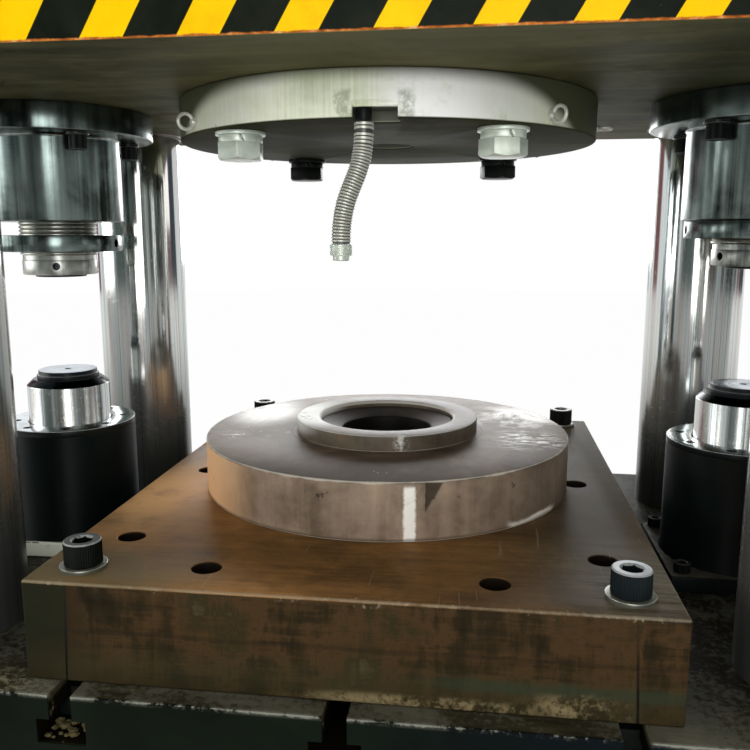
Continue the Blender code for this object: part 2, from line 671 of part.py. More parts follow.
def build_slide():
    """Moving crosshead with four guide bushes."""
    slide = block("slide", (SLIDE_WIDTH, SLIDE_DEPTH, SLIDE_HEIGHT), (0, 0, SLIDE_BOTTOM + SLIDE_HEIGHT / 2))
    combine(slide, rods("bush_bore_cutter", column_places().values(), BUSH_DIAMETER / 2 + SEAT_GAP,
                        SLIDE_BOTTOM - OVERRUN, SLIDE_TOP + OVERRUN, COLUMN_SIDES))
    bolts = corner_places(PLATEN_BOLT_X, PLATEN_BOLT_Y).values()
    combine(slide, rods("bolt_hole_cutter", bolts, BOLT_DIAMETER / 2 + SEAT_GAP, SLIDE_BOTTOM - OVERRUN,
                        SLIDE_BOTTOM + BOLT_GRIP_IN_SLIDE + SEAT_GAP, BOLT_SIDES))
    dress(slide, dark_green_paint())
    flange_low = SLIDE_TOP + SEAT_GAP
    flange_top = flange_low + BUSH_FLANGE_THICKNESS
    inner = COLUMN_DIAMETER / 2 + SEAT_GAP
    for name, (x, y) in column_places().items():
        bush = turned(f"guide_bush_{name}", [
            (BUSH_FLANGE_DIAMETER / 2, flange_top), (BUSH_FLANGE_DIAMETER / 2, flange_low),
            (BUSH_DIAMETER / 2, flange_low), (BUSH_DIAMETER / 2, SLIDE_BOTTOM), (inner, SLIDE_BOTTOM),
            (inner, flange_top)], (x, y, 0), COLUMN_SIDES, ring=True)
        dress(bush, bronze())


def build_platen():
    """Round platen bolted under the slide, with a notch where the conduit comes out."""
    radius = PLATEN_DIAMETER / 2
    bore = PLATEN_BORE_DIAMETER / 2
    top = SLIDE_BOTTOM - SEAT_GAP
    platen = turned("platen", [
        (radius - PLATEN_EDGE, top), (radius, top - PLATEN_EDGE), (radius, PLATEN_BOTTOM + PLATEN_EDGE),
        (radius - PLATEN_EDGE, PLATEN_BOTTOM), (bore, PLATEN_BOTTOM), (bore, top)],
        (0, 0, 0), PLATEN_SIDES, ring=True)
    places = corner_places(PLATEN_BOLT_X, PLATEN_BOLT_Y)
    combine(platen, rods("platen_hole_cutter", places.values(), PLATEN_BOLT_HOLE_DIAMETER / 2,
                         PLATEN_BOTTOM - OVERRUN, SLIDE_BOTTOM + OVERRUN, BOLT_SIDES))
    notch = block("notch_cutter", (NOTCH_WIDTH, NOTCH_DEPTH + OVERRUN, NOTCH_HEIGHT + OVERRUN),
                  (NOTCH_CENTRE_X, -radius + (NOTCH_DEPTH - OVERRUN) / 2,
                   PLATEN_BOTTOM + (NOTCH_HEIGHT - OVERRUN) / 2), group=CUTTERS)
    combine(platen, notch)
    dress(platen, platen_paint())
    for name, (x, y) in places.items():
        build_platen_bolt(name, x, y)


def build_platen_bolt(name, x, y):
    """Hex bolt from below, with its spring washer and flat washer, into the slide."""
    seat = PLATEN_BOTTOM - SEAT_GAP
    washer_low = seat - BOLT_WASHER_THICKNESS
    spring_low = washer_low - BOLT_SPRING_WASHER_THICKNESS
    head_low = spring_low - BOLT_HEAD_HEIGHT
    top = SLIDE_BOTTOM + BOLT_GRIP_IN_SLIDE
    bolt = turned(f"platen_bolt_{name}", [
        (0, top), (BOLT_DIAMETER / 2, top), (BOLT_DIAMETER / 2, seat), (BOLT_WASHER_DIAMETER / 2, seat),
        (BOLT_WASHER_DIAMETER / 2, washer_low), (BOLT_SPRING_WASHER_DIAMETER / 2, washer_low),
        (BOLT_SPRING_WASHER_DIAMETER / 2, spring_low), (0, spring_low)], (x, y, 0), BOLT_SIDES)
    head = rods(f"bolt_head_joiner_{name}", [(0, 0)], BOLT_ACROSS_FLATS / 2 / math.cos(math.pi / 6),
                head_low, spring_low + JOIN_DEPTH, 6, (x, y, 0))
    combine(bolt, head, "UNION")
    dress(bolt, zinc_plate())


def build_eyebolts():
    """Small eyebolts screwed into the platen's rim, the left ring upright and the right one level."""
    for side, height, tilt in (("left", LEFT_EYE_HEIGHT, 0), ("right", RIGHT_EYE_HEIGHT, math.pi / 2)):
        outward = SIDES[side]
        rim = PLATEN_DIAMETER / 2 + SEAT_GAP
        shape = bmesh.new()
        collar = outward * (rim + EYE_COLLAR_THICKNESS / 2)
        bmesh.ops.create_cone(shape, cap_ends=True, segments=EYE_COLLAR_SIDES,
                              radius1=EYE_COLLAR_DIAMETER / 2, radius2=EYE_COLLAR_DIAMETER / 2,
                              depth=EYE_COLLAR_THICKNESS,
                              matrix=Matrix.Translation((collar, 0, 0)) @ Matrix.Rotation(math.pi / 2, 4, "Y"))
        eye = add_object(f"eyebolt_{side}", mesh_from(f"eyebolt_{side}", shape),
                         (0, 0, PLATEN_BOTTOM + height))
        ring_x = rim + EYE_COLLAR_THICKNESS + (EYE_RING_DIAMETER + EYE_WIRE_DIAMETER) / 2 - JOIN_DEPTH
        ring = eye_ring(f"eye_ring_joiner_{side}", tilt, (outward * ring_x, 0, PLATEN_BOTTOM + height))
        combine(eye, ring, "UNION")
        dress(eye, galvanised_strip())


def eye_ring(name, tilt, place):
    """Make the round wire ring of an eyebolt, turned about the X axis by tilt."""
    mesh = bpy.data.meshes.new(name)
    points = [(EYE_RING_DIAMETER / 2 + EYE_WIRE_DIAMETER / 2 * math.cos(math.tau * i / EYE_WIRE_SIDES), 0,
               -EYE_WIRE_DIAMETER / 2 * math.sin(math.tau * i / EYE_WIRE_SIDES)) for i in range(EYE_WIRE_SIDES)]
    mesh.from_pydata(points, [(i, (i + 1) % EYE_WIRE_SIDES) for i in range(EYE_WIRE_SIDES)], [])
    ring = add_object(name, mesh, place, CUTTERS)
    ring.rotation_euler = (math.pi / 2 - tilt, 0, 0)
    screw = ring.modifiers.new("turn", "SCREW")
    screw.angle = math.tau
    screw.steps = EYE_RING_SIDES
    screw.render_steps = EYE_RING_SIDES
    screw.use_merge_vertices = True
    screw.merge_threshold = MERGE_DISTANCE
    return ring


def build_conduit():
    """Short flexible conduit that hangs from a nipple in the platen's notch and ends in a connector."""
    x = CONDUIT_X
    y = -PLATEN_DIAMETER / 2 + CONDUIT_SETBACK
    ceiling = PLATEN_BOTTOM + NOTCH_HEIGHT - SEAT_GAP
    nipple_low = ceiling - CONDUIT_NIPPLE_HEIGHT
    nipple = rods("conduit_nipple", [(x, y)], CONDUIT_NIPPLE_DIAMETER / 2, nipple_low, ceiling,
                  HOLE_SIDES, group=PRESS)
    dress(nipple, dark_turned_steel())
    curve = bpy.data.curves.new("conduit", "CURVE")
    curve.dimensions = "3D"
    curve.bevel_depth = CONDUIT_DIAMETER / 2
    curve.bevel_resolution = CONDUIT_RESOLUTION
    curve.use_fill_caps = True
    spline = curve.splines.new("POLY")
    spline.points.add(len(CONDUIT_ROUTE) - 1)
    for point, (dx, dy, dz) in zip(spline.points, CONDUIT_ROUTE):
        point.co = (dx, dy, dz, 1)
    conduit = bpy.data.objects.new("conduit", curve)
    conduit.location = (x, y, nipple_low - SEAT_GAP)
    collection(PRESS).objects.link(conduit)
    dress(conduit, galvanised_strip())
    last, end = Vector(CONDUIT_ROUTE[-2]), Vector(CONDUIT_ROUTE[-1])
    build_connector(conduit.location + end, (end - last).normalized())


def build_connector(end, direction):
    """Straight connector on the conduit's end: a sleeve and a shorter, thinner nose."""
    sleeve = CONNECTOR_SLEEVE_DIAMETER / 2
    nose = CONNECTOR_NOSE_DIAMETER / 2
    low = -CONNECTOR_SLEEVE_LENGTH
    connector = turned("conduit_connector", [
        (0, 0), (sleeve, 0), (sleeve, low), (nose, low), (nose, low - CONNECTOR_NOSE_LENGTH),
        (0, low - CONNECTOR_NOSE_LENGTH)], end + direction * SEAT_GAP, CONNECTOR_SIDES)
    connector.rotation_euler = direction.to_track_quat("-Z", "Y").to_euler()
    dress(connector, dark_turned_steel())


def build_die_plate():
    """Thick die plate on the table, with its screws, T-nuts, die disc and die ring."""
    low = TABLE_TOP + SEAT_GAP
    plate = block("die_plate", (PLATE_WIDTH, PLATE_DEPTH, PLATE_TOP - low), (0, 0, (low + PLATE_TOP) / 2),
                  edge=PLATE_EDGE)
    screws = corner_places(SLOT_PITCH, PLATE_SCREW_Y)
    combine(plate, rods("plate_screw_hole_cutter", screws.values(), PLATE_SCREW_HOLE_DIAMETER / 2,
                        TABLE_TOP - OVERRUN, PLATE_TOP + OVERRUN, HOLE_SIDES))
    holes = list(corner_places(PLATE_SIDE_HOLE_X, PLATE_SIDE_HOLE_Y).values())
    holes += list(corner_places(PLATE_END_HOLE_X, PLATE_END_HOLE_Y).values())
    holes += [(side * PLATE_SIDE_HOLE_X, 0) for side in SIDES.values()]
    combine(plate, rods("plate_hole_cutter", holes, PLATE_HOLE_DIAMETER / 2, TABLE_TOP - OVERRUN,
                        PLATE_TOP + OVERRUN, HOLE_SIDES))
    dress(plate, rusty_plate_steel())
    for name, (x, y) in screws.items():
        build_plate_screw(name, x, y)
    build_lower_die()


def build_plate_screw(name, x, y):
    """Socket screw with its washer, and the T-nut that it pulls against."""
    seat = PLATE_TOP + SEAT_GAP
    washer_top = seat + SCREW_WASHER_THICKNESS
    head_top = washer_top + SCREW_HEAD_HEIGHT
    head = SCREW_HEAD_DIAMETER / 2
    step = TABLE_TOP + SCREW_STEP_HEIGHT
    nut_top = TABLE_TOP - SLOT_THROAT_DEPTH - SEAT_GAP
    nut_low = nut_top - TEE_NUT_HEIGHT
    screw = turned(f"plate_screw_{name}", [
        (0, head_top), (head - SCREW_HEAD_EDGE, head_top), (head, head_top - SCREW_HEAD_EDGE),
        (head, washer_top), (SCREW_WASHER_DIAMETER / 2, washer_top), (SCREW_WASHER_DIAMETER / 2, seat),
        (SCREW_DIAMETER / 2, seat), (SCREW_DIAMETER / 2, step), (SCREW_END_DIAMETER / 2, step),
        (SCREW_END_DIAMETER / 2, nut_low), (0, nut_low)], (x, y, 0), SCREW_SIDES)
    socket = rods(f"socket_cutter_{name}", [(0, 0)], SCREW_SOCKET_FLATS / 2 / math.cos(math.pi / 6),
                  head_top - SCREW_SOCKET_DEPTH, head_top + OVERRUN, 6, (x, y, 0))
    combine(screw, socket)
    dress(screw, black_oxide())

    nut = block(f"tee_nut_{name}", (TEE_NUT_WIDTH, TEE_NUT_LENGTH, TEE_NUT_HEIGHT),
                (0, 0, (nut_top + nut_low) / 2), (x, y, 0))
    neck = block(f"tee_neck_joiner_{name}", (TEE_NUT_NECK_WIDTH, TEE_NUT_LENGTH, TEE_NUT_NECK_HEIGHT + JOIN_DEPTH),
                 (0, 0, nut_top + (TEE_NUT_NECK_HEIGHT - JOIN_DEPTH) / 2), (x, y, 0), group=CUTTERS)
    combine(nut, neck, "UNION")
    combine(nut, rods(f"tee_hole_cutter_{name}", [(0, 0)], SCREW_END_DIAMETER / 2 + SEAT_GAP,
                      nut_low - OVERRUN, TABLE_TOP + OVERRUN, SCREW_SIDES, (x, y, 0)))
    dress(nut, dark_turned_steel())


def build_lower_die():
    """Round die disc on the plate and the ring on top of it."""
    low = PLATE_TOP + SEAT_GAP
    top = PLATE_TOP + DIE_DISC_HEIGHT
    radius = DIE_DISC_DIAMETER / 2
    bore = DIE_RING_BORE_DIAMETER / 2
    spigot = bore - DIE_SPIGOT_CLEARANCE
    spigot_top = top + DIE_SPIGOT_HEIGHT
    throat = DIE_DISC_BORE_DIAMETER / 2
    disc = turned("die_disc", [
        (spigot, spigot_top), (spigot, top), (radius - DIE_DISC_EDGE, top), (radius, top - DIE_DISC_EDGE),
        (radius, low), (throat, low), (throat, spigot_top - DIE_MOUTH_DEPTH),
        (DIE_MOUTH_DIAMETER / 2, spigot_top)], (0, 0, 0), DIE_DISC_SIDES, ring=True)
    dress(disc, die_steel())
    ring_low = top + SEAT_GAP
    ring_top = top + DIE_RING_HEIGHT
    outer = DIE_RING_DIAMETER / 2
    ring = turned("die_ring", [
        (outer - DIE_RING_CHAMFER / 2, ring_top), (outer, ring_top - DIE_RING_CHAMFER / 2), (outer, ring_low),
        (bore, ring_low), (bore, ring_top - DIE_RING_CHAMFER), (bore + DIE_RING_CHAMFER, ring_top)],
        (0, 0, 0), DIE_DISC_SIDES, ring=True)
    dress(ring, die_steel())


def build_stop(side, reach, nut_gap):
    """Stop on one side of the slide: flanged barrel, screw with collar, lock nut and strike pad."""
    outward = SIDES[side]
    place = Vector((outward * STOP_X, 0, SLIDE_BOTTOM))
    build_barrel(side, outward, place)
    collar_low = -reach
    axis_place = place + Vector((0, 0, collar_low))
    build_stop_screw(side, axis_place)
    build_strike_pad(side, axis_place)
    build_lock_nut(side, axis_place, reach - BARREL_LENGTH - nut_gap - LOCK_NUT_HEIGHT)


def build_barrel(side, outward, place):
    """Barrel with a flange under the slide, held by a ring of socket screws."""
    top = -SEAT_GAP
    flange_low = -BARREL_FLANGE_THICKNESS
    flange = BARREL_FLANGE_DIAMETER / 2
    body = BARREL_DIAMETER / 2
    bore = clear_radius(STOP_SCREW_DIAMETER / 2, STOP_SIDES)
    barrel = turned(f"stop_barrel_{side}", [
        (flange, top), (flange, flange_low), (body, flange_low), (body, BARREL_EDGE - BARREL_LENGTH),
        (body - BARREL_EDGE, -BARREL_LENGTH), (bore, -BARREL_LENGTH), (bore, top)],
        place, STOP_SIDES, ring=True)
    places = circle_places(BARREL_SCREW_CIRCLE, BARREL_SCREW_COUNT, BARREL_SCREW_START_DEGREES, -outward)
    washer_low = flange_low - BARREL_SCREW_WASHER_THICKNESS
    washers = rods(f"washer_joiner_{side}", places, BARREL_SCREW_WASHER_DIAMETER / 2, washer_low,
                   flange_low + JOIN_DEPTH, BARREL_SCREW_SIDES, place)
    heads = rods(f"screw_head_joiner_{side}", places, BARREL_SCREW_HEAD_DIAMETER / 2,
                 washer_low - BARREL_SCREW_HEAD_HEIGHT, washer_low + JOIN_DEPTH, BARREL_SCREW_SIDES, place)
    combine(barrel, washers, "UNION")
    combine(barrel, heads, "UNION")
    dress(barrel, dark_turned_steel())


def build_stop_screw(side, place):
    """Stop screw, its collar drilled for a tommy bar and recessed below for the strike pad."""
    radius = STOP_SCREW_DIAMETER / 2
    collar = COLLAR_DIAMETER / 2
    recess = clear_radius(STRIKE_PAD_DIAMETER / 2, STOP_SIDES)
    recess_height = STRIKE_PAD_THICKNESS - STRIKE_PAD_STAND_OUT + SEAT_GAP
    screw = turned(f"stop_screw_{side}", [
        (0, STOP_SCREW_LENGTH), (radius - STOP_SCREW_EDGE, STOP_SCREW_LENGTH),
        (radius, STOP_SCREW_LENGTH - STOP_SCREW_EDGE), (radius, COLLAR_HEIGHT), (collar, COLLAR_HEIGHT),
        (collar, 0), (recess, 0), (recess, recess_height), (0, recess_height)], place, STOP_SIDES)
    angles = [math.radians(TOMMY_HOLE_START_DEGREES) + math.tau * i / TOMMY_HOLE_COUNT
              for i in range(TOMMY_HOLE_COUNT)]
    mid = (recess_height + COLLAR_HEIGHT) / 2
    combine(screw, spokes(f"tommy_hole_cutter_{side}", angles, TOMMY_HOLE_DIAMETER / 2,
                          collar - TOMMY_HOLE_DEPTH, collar + OVERRUN, mid, TOMMY_HOLE_SIDES, place))
    dress(screw, dark_turned_steel())


def build_strike_pad(side, place):
    """Hard pad in the foot of the stop screw; it stays still while the screw turns."""
    radius = STRIKE_PAD_DIAMETER / 2
    top = STRIKE_PAD_THICKNESS - STRIKE_PAD_STAND_OUT
    low = -STRIKE_PAD_STAND_OUT
    pad = turned(f"strike_pad_{side}", [
        (0, top), (radius, top), (radius, low + STRIKE_PAD_EDGE), (radius - STRIKE_PAD_EDGE, low), (0, low)],
        place, STOP_SIDES)
    dress(pad, zinc_plate())


def build_lock_nut(side, place, low):
    """Round lock nut on the stop screw at a height above the collar's foot, with two spanner holes."""
    radius = LOCK_NUT_DIAMETER / 2
    bore = STOP_SCREW_DIAMETER / 2 + SEAT_GAP
    high = low + LOCK_NUT_HEIGHT
    nut = turned(f"lock_nut_{side}", [
        (radius - LOCK_NUT_EDGE, high), (radius, high - LOCK_NUT_EDGE), (radius, low + LOCK_NUT_EDGE),
        (radius - LOCK_NUT_EDGE, low), (bore, low), (bore, high)], place, STOP_SIDES, ring=True)
    combine(nut, spokes(f"spanner_hole_cutter_{side}", (0, math.pi), SPANNER_HOLE_DIAMETER / 2,
                        radius - SPANNER_HOLE_DEPTH, radius + OVERRUN, (low + high) / 2,
                        TOMMY_HOLE_SIDES, place))
    dress(nut, dark_turned_steel())


def build_buffer(side):
    """Buffer cylinder on the table with its gland, plunger and wear pad."""
    place = Vector((SIDES[side] * STOP_X, 0, TABLE_TOP))
    outer = BUFFER_DIAMETER / 2
    bore = PISTON_DIAMETER / 2 + SEAT_GAP
    gland_low = BUFFER_HEIGHT - GLAND_THICKNESS
    floor = BUFFER_BASE_THICKNESS + BUFFER_FLOOR
    body = turned(f"buffer_cylinder_{side}", [
        (outer, gland_low), (outer, BUFFER_BASE_THICKNESS - JOIN_DEPTH), (0, BUFFER_BASE_THICKNESS - JOIN_DEPTH),
        (0, floor), (bore, floor), (bore, gland_low)], place, BUFFER_SIDES, ring=True)
    base_low = SEAT_GAP
    base = block(f"buffer_base_joiner_{side}",
                 (BUFFER_BASE_WIDTH, BUFFER_BASE_WIDTH, BUFFER_BASE_THICKNESS - base_low),
                 (0, 0, (base_low + BUFFER_BASE_THICKNESS) / 2), place, group=CUTTERS)
    combine(body, base, "UNION")
    inset = BUFFER_BASE_WIDTH / 2 - BUFFER_BASE_SCREW_INSET
    heads = rods(f"base_screw_joiner_{side}", corner_places(inset, inset).values(),
                 BUFFER_BASE_SCREW_DIAMETER / 2, BUFFER_BASE_THICKNESS - JOIN_DEPTH,
                 BUFFER_BASE_THICKNESS + BUFFER_BASE_SCREW_HEIGHT, BARREL_SCREW_SIDES, place)
    combine(body, heads, "UNION")
    dress(body, black_gloss_paint())

    gland_seat = gland_low + SEAT_GAP
    plunger_hole = PLUNGER_DIAMETER / 2 + SEAT_GAP
    gland = turned(f"buffer_gland_{side}", [
        (outer - BUFFER_EDGE, BUFFER_HEIGHT), (outer, BUFFER_HEIGHT - BUFFER_EDGE), (outer, gland_seat),
        (plunger_hole, gland_seat), (plunger_hole, BUFFER_HEIGHT)], place, BUFFER_SIDES, ring=True)
    dress(gland, dark_turned_steel())

    piston_top = gland_seat - SEAT_GAP * 2
    plunger_radius = PLUNGER_DIAMETER / 2
    plunger = turned(f"plunger_{side}", [
        (0, PLUNGER_TOP_HEIGHT), (PLUNGER_TOP_DIAMETER / 2, PLUNGER_TOP_HEIGHT),
        (plunger_radius, PLUNGER_SHOULDER_HEIGHT), (plunger_radius, piston_top),
        (PISTON_DIAMETER / 2, piston_top), (PISTON_DIAMETER / 2, piston_top - PISTON_HEIGHT),
        (0, piston_top - PISTON_HEIGHT)], place, BUFFER_SIDES)
    dress(plunger, column_chrome())
    build_wear_pad(side, place + Vector((0, 0, PLUNGER_TOP_HEIGHT + SEAT_GAP)))


def build_wear_pad(side, place):
    """Wear pad on the plunger, with a rim below and a small centre hole."""
    radius = WEAR_PAD_DIAMETER / 2
    rim = WEAR_PAD_RIM_DIAMETER / 2
    top = WEAR_PAD_THICKNESS - SEAT_GAP
    hole = WEAR_PAD_HOLE_DIAMETER / 2
    pad = turned(f"wear_pad_{side}", [
        (0, top - WEAR_PAD_HOLE_DEPTH), (hole, top - WEAR_PAD_HOLE_DEPTH), (hole, top),
        (radius - WEAR_PAD_EDGE, top), (radius, top - WEAR_PAD_EDGE),
        (radius, WEAR_PAD_RIM_HEIGHT), (rim, WEAR_PAD_RIM_HEIGHT), (rim, 0), (0, 0)], place, BUFFER_SIDES)
    dress(pad, zinc_plate())


def build_press():
    """Build every piece of the press."""
    clear_scene()
    build_bed()
    build_table()
    build_columns()
    build_crown()
    build_main_cylinder()
    build_ram()
    build_slide()
    build_platen()
    build_eyebolts()
    build_conduit()
    build_die_plate()
    build_stop("left", STOP_REACH_LEFT, LOCK_NUT_GAP_LEFT)
    build_stop("right", STOP_REACH_RIGHT, SEAT_GAP)
    for side in SIDES:
        build_buffer(side)


build_press()
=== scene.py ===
"""Looks of a four-column hydraulic press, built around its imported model.

Lengths are metres, heights are measured from the floor, and colours are screen colours as 0xRRGGBB.
"""
from __future__ import annotations

import logging
import math
import random
from contextlib import contextmanager
from dataclasses import dataclass, replace
from enum import Enum
from typing import Iterable, Iterator, Sequence

import bpy
from mathutils import Matrix, Vector


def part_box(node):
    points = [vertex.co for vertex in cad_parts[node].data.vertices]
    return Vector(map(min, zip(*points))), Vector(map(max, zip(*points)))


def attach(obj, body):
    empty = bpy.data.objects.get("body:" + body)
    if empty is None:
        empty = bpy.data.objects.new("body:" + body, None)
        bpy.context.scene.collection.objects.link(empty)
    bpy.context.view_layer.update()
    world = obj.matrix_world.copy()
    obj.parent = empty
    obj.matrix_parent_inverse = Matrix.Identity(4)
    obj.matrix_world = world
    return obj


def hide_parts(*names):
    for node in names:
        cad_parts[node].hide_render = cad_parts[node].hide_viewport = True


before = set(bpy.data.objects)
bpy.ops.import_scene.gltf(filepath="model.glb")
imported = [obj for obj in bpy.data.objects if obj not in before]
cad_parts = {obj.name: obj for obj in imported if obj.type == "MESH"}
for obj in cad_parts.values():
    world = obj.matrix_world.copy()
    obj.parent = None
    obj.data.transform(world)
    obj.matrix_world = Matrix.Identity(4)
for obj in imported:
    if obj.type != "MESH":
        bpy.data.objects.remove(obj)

log = logging.getLogger("press")
Piece = bpy.types.Object
Point = tuple[float, float, float]
Block = tuple[Point, Point]
Profile = Sequence[tuple[float, float]]

FIT = 0.0003  # gap left between fitted pieces
OVER = 0.01  # how far a cutter reaches past what it cuts
SMOOTH = 32.0  # edges flatter than this look round, in degrees
HEX = math.cos(math.pi / 6)  # half width across flats over the corner radius


class Side(Enum):
    """The two sides of the press, as seen from the front."""

    LEFT = "left"
    RIGHT = "right"

    @property
    def sign(self) -> int:
        """Direction of the side along X."""
        return -1 if self is Side.LEFT else 1


class End(Enum):
    """The front and the rear of the press."""

    FRONT = "front"
    REAR = "rear"


CORNERS = [f"{end.value}_{side.value}" for end in End for side in Side]


def around(x: float, y: float) -> dict[str, tuple[float, float]]:
    """Return the four corner places at a distance from the press's middle."""
    return {f"{end.value}_{side.value}": (side.sign * x, (-1 if end is End.FRONT else 1) * y)
            for end in End for side in Side}


def linear(colour: int) -> Point:
    """Return the linear colour of a screen colour."""
    parts = (((colour >> shift) & 255) / 255 for shift in (16, 8, 0))
    return tuple(c / 12.92 if c <= 0.04045 else ((c + 0.055) / 1.055) ** 2.4 for c in parts)


def shade(colour: int, factor: float) -> Point:
    """Return a screen colour made darker or lighter, as a linear colour."""
    return tuple(min(1.0, c * factor) for c in linear(colour))


class Value:
    """A shader socket that can be used in Python sums."""

    def __init__(self, sheet: "Sheet", socket: bpy.types.NodeSocket) -> None:
        """Wrap a socket of the sheet."""
        self.sheet = sheet
        self.socket = socket

    def math(self, operation: str, *others: "Value | float") -> "Value":
        """Return the value after a Math node.

        Args:
            operation: name of the Math node's operation.
            others: the node's further inputs.

        Returns:
            The result.
        """
        return self.sheet.make("ShaderNodeMath", {"operation": operation}, [self, *others])

    def __add__(self, other: "Value | float") -> "Value":
        """Add."""
        return self.math("ADD", other)

    def __sub__(self, other: "Value | float") -> "Value":
        """Subtract."""
        return self.math("SUBTRACT", other)

    def __rsub__(self, other: float) -> "Value":
        """Subtract this from a number."""
        return self.sheet.make("ShaderNodeMath", {"operation": "SUBTRACT"}, [other, self])

    def __mul__(self, other: "Value | float") -> "Value":
        """Multiply."""
        return self.math("MULTIPLY", other)

    def __truediv__(self, other: "Value | float") -> "Value":
        """Divide."""
        return self.math("DIVIDE", other)

    def __abs__(self) -> "Value":
        """Drop the sign."""
        return self.math("ABSOLUTE")

    __radd__ = __add__
    __rmul__ = __mul__

    def top(self, other: "Value | float") -> "Value":
        """Return the greater of two values."""
        return self.math("MAXIMUM", other)

    def rise(self, low: float, high: float) -> "Value":
        """Return a smooth step from 0 at low to 1 at high.

        Args:
            low: where the step starts.
            high: where it ends; below low it falls instead.

        Returns:
            The step.
        """
        return self.sheet.make("ShaderNodeMapRange", {"interpolation_type": "SMOOTHSTEP"},
                               [self, low, high, 0.0, 1.0])

    def near(self, centre: float, width: float, blur: float) -> "Value":
        """Return 1 within width of a centre value, falling to 0 over blur."""
        return abs(self - centre).rise(width + blur, width)


class Sheet:
    """The node sheet of one material."""

    def __init__(self, name: str, owner: bpy.types.ID | None = None) -> None:
        """Start a material with its Principled shader, or use the nodes of a world.

        Args:
            name: the material's name.
            owner: a world whose nodes are used, or None for a new material.
        """
        self.material = owner or bpy.data.materials.new(name)
        self.material.use_nodes = True
        self.tree = self.material.node_tree
        self.shader = self.tree.nodes.get("Principled BSDF")

    def make(self, kind: str, settings: dict | None = None, sockets: Sequence | dict | None = None,
             stops: Sequence[tuple[float, int]] = (), out: int | str = 0) -> Value:
        """Add a node and return one of its outputs.

        Args:
            kind: the node's type.
            settings: its own settings, set first.
            sockets: values or links of its input sockets, in order or by name.
            stops: the stops of a colour ramp.
            out: which output to return.

        Returns:
            The output as a value.
        """
        node = self.tree.nodes.new(kind)
        for key, setting in (settings or {}).items():
            setattr(node, key, setting)
        if stops:
            ramp = node.color_ramp
            while len(ramp.elements) < len(stops):
                ramp.elements.new(1.0)
            for element, (place, colour) in zip(ramp.elements, stops):
                element.position = place
                element.color = (*linear(colour), 1.0)
        pairs = sockets.items() if isinstance(sockets, dict) else enumerate(sockets or [])
        for key, value in pairs:
            self.feed(node.inputs[key], value)
        return Value(self, node.outputs[out])

    def feed(self, socket: bpy.types.NodeSocket, value: object) -> None:
        """Set or link an input socket; a colour may be a screen colour.

        Args:
            socket: the input.
            value: a number, a vector, a colour as 0xRRGGBB or the output of another node.
        """
        if isinstance(value, Value):
            self.tree.links.new(value.socket, socket)
        elif socket.type == "RGBA":
            socket.default_value = (*(linear(value) if isinstance(value, int) else value), 1.0)
        else:
            socket.default_value = value

    def vector(self, operation: str, *sockets: object, out: int = 0) -> Value:
        """Return the value after a Vector Math node."""
        return self.make("ShaderNodeVectorMath", {"operation": operation}, sockets, out=out)

    def place(self, centre: Point = (0, 0, 0), scale: Point = (1, 1, 1)) -> Value:
        """Return the object's own coordinates, moved to a centre and scaled."""
        raw = self.make("ShaderNodeTexCoord", out="Object")
        return self.vector("MULTIPLY", self.vector("SUBTRACT", raw, centre), scale)

    def axes(self, place: Value | None = None) -> tuple[Value, Value, Value]:
        """Split a place, or else the object's own coordinates, into X, Y and Z values."""
        node = self.make("ShaderNodeSeparateXYZ", None, [place or self.place()]).socket.node
        return tuple(Value(self, node.outputs[i]) for i in range(3))

    def join(self, x: Value | float, y: Value | float, z: Value | float) -> Value:
        """Join three values into a place."""
        return self.make("ShaderNodeCombineXYZ", None, [x, y, z])

    def noise(self, place: Value | Point, scale: float, detail: float = 3.0, rough: float = 0.55,
              warp: float = 0.0) -> Value:
        """Return noise between 0 and 1.

        Args:
            place: where it is read, or how the object's own coordinates are scaled for it.
            scale: its scale.
            detail: its detail.
            rough: how strong the fine detail is.
            warp: its distortion.

        Returns:
            The noise value.
        """
        where = place if isinstance(place, Value) else self.place(scale=place)
        return self.make("ShaderNodeTexNoise", None,
                         {"Vector": where, "Scale": scale, "Detail": detail, "Roughness": rough,
                          "Distortion": warp})

    def round_place(self, centre: Point, across: float, along: float) -> Value:
        """Return a place wrapped round an upright axis, for streaks and turning marks.

        Args:
            centre: a point on the axis.
            across: scale round the axis.
            along: scale along the axis.

        Returns:
            A place that has no seam.
        """
        x, y, z = self.axes(self.place(centre))
        span = self.length(x, y).top(0.0001)
        return self.join(x / span * across, y / span * across, z * along)

    @staticmethod
    def length(x: Value, y: Value) -> Value:
        """Return the length of two values at a right angle."""
        return (x * x + y * y).math("SQRT")

    def span(self, centre: Point) -> Value:
        """Return the distance from an upright axis."""
        return self.length(*self.axes(self.place(centre))[:2])

    def blend(self, factor: Value | float, low: object, high: object) -> Value:
        """Mix two colours.

        Args:
            factor: share of the second colour.
            low: colour at 0.
            high: colour at 1.

        Returns:
            The mixed colour.
        """
        node = self.tree.nodes.new("ShaderNodeMix")
        node.data_type = "RGBA"
        for socket, value in ((0, factor), (6, low), (7, high)):
            self.feed(node.inputs[socket], value)
        return Value(self, node.outputs[2])

    def coats(self, tone: object, *coats: tuple[Value | float, object]) -> Value:
        """Lay coats over a tone one after another.

        Args:
            tone: the colour below.
            coats: where each coat lies and its colour.

        Returns:
            The tone on top.
        """
        for where, colour in coats:
            tone = self.blend(where, tone, colour)
        return tone

    def uneven(self, factor: Value, colour: int, low: float, high: float) -> Value:
        """Vary a colour between two brightnesses."""
        return self.blend(factor, shade(colour, low), shade(colour, high))

    def ramp(self, factor: Value, *stops: tuple[float, int]) -> Value:
        """Return a colour ramp of the factor."""
        return self.make("ShaderNodeValToRGB", None, [factor], stops)

    def normal(self) -> tuple[Value, Value, Value]:
        """Return the surface's direction."""
        return self.axes(self.make("ShaderNodeNewGeometry", out="Normal"))

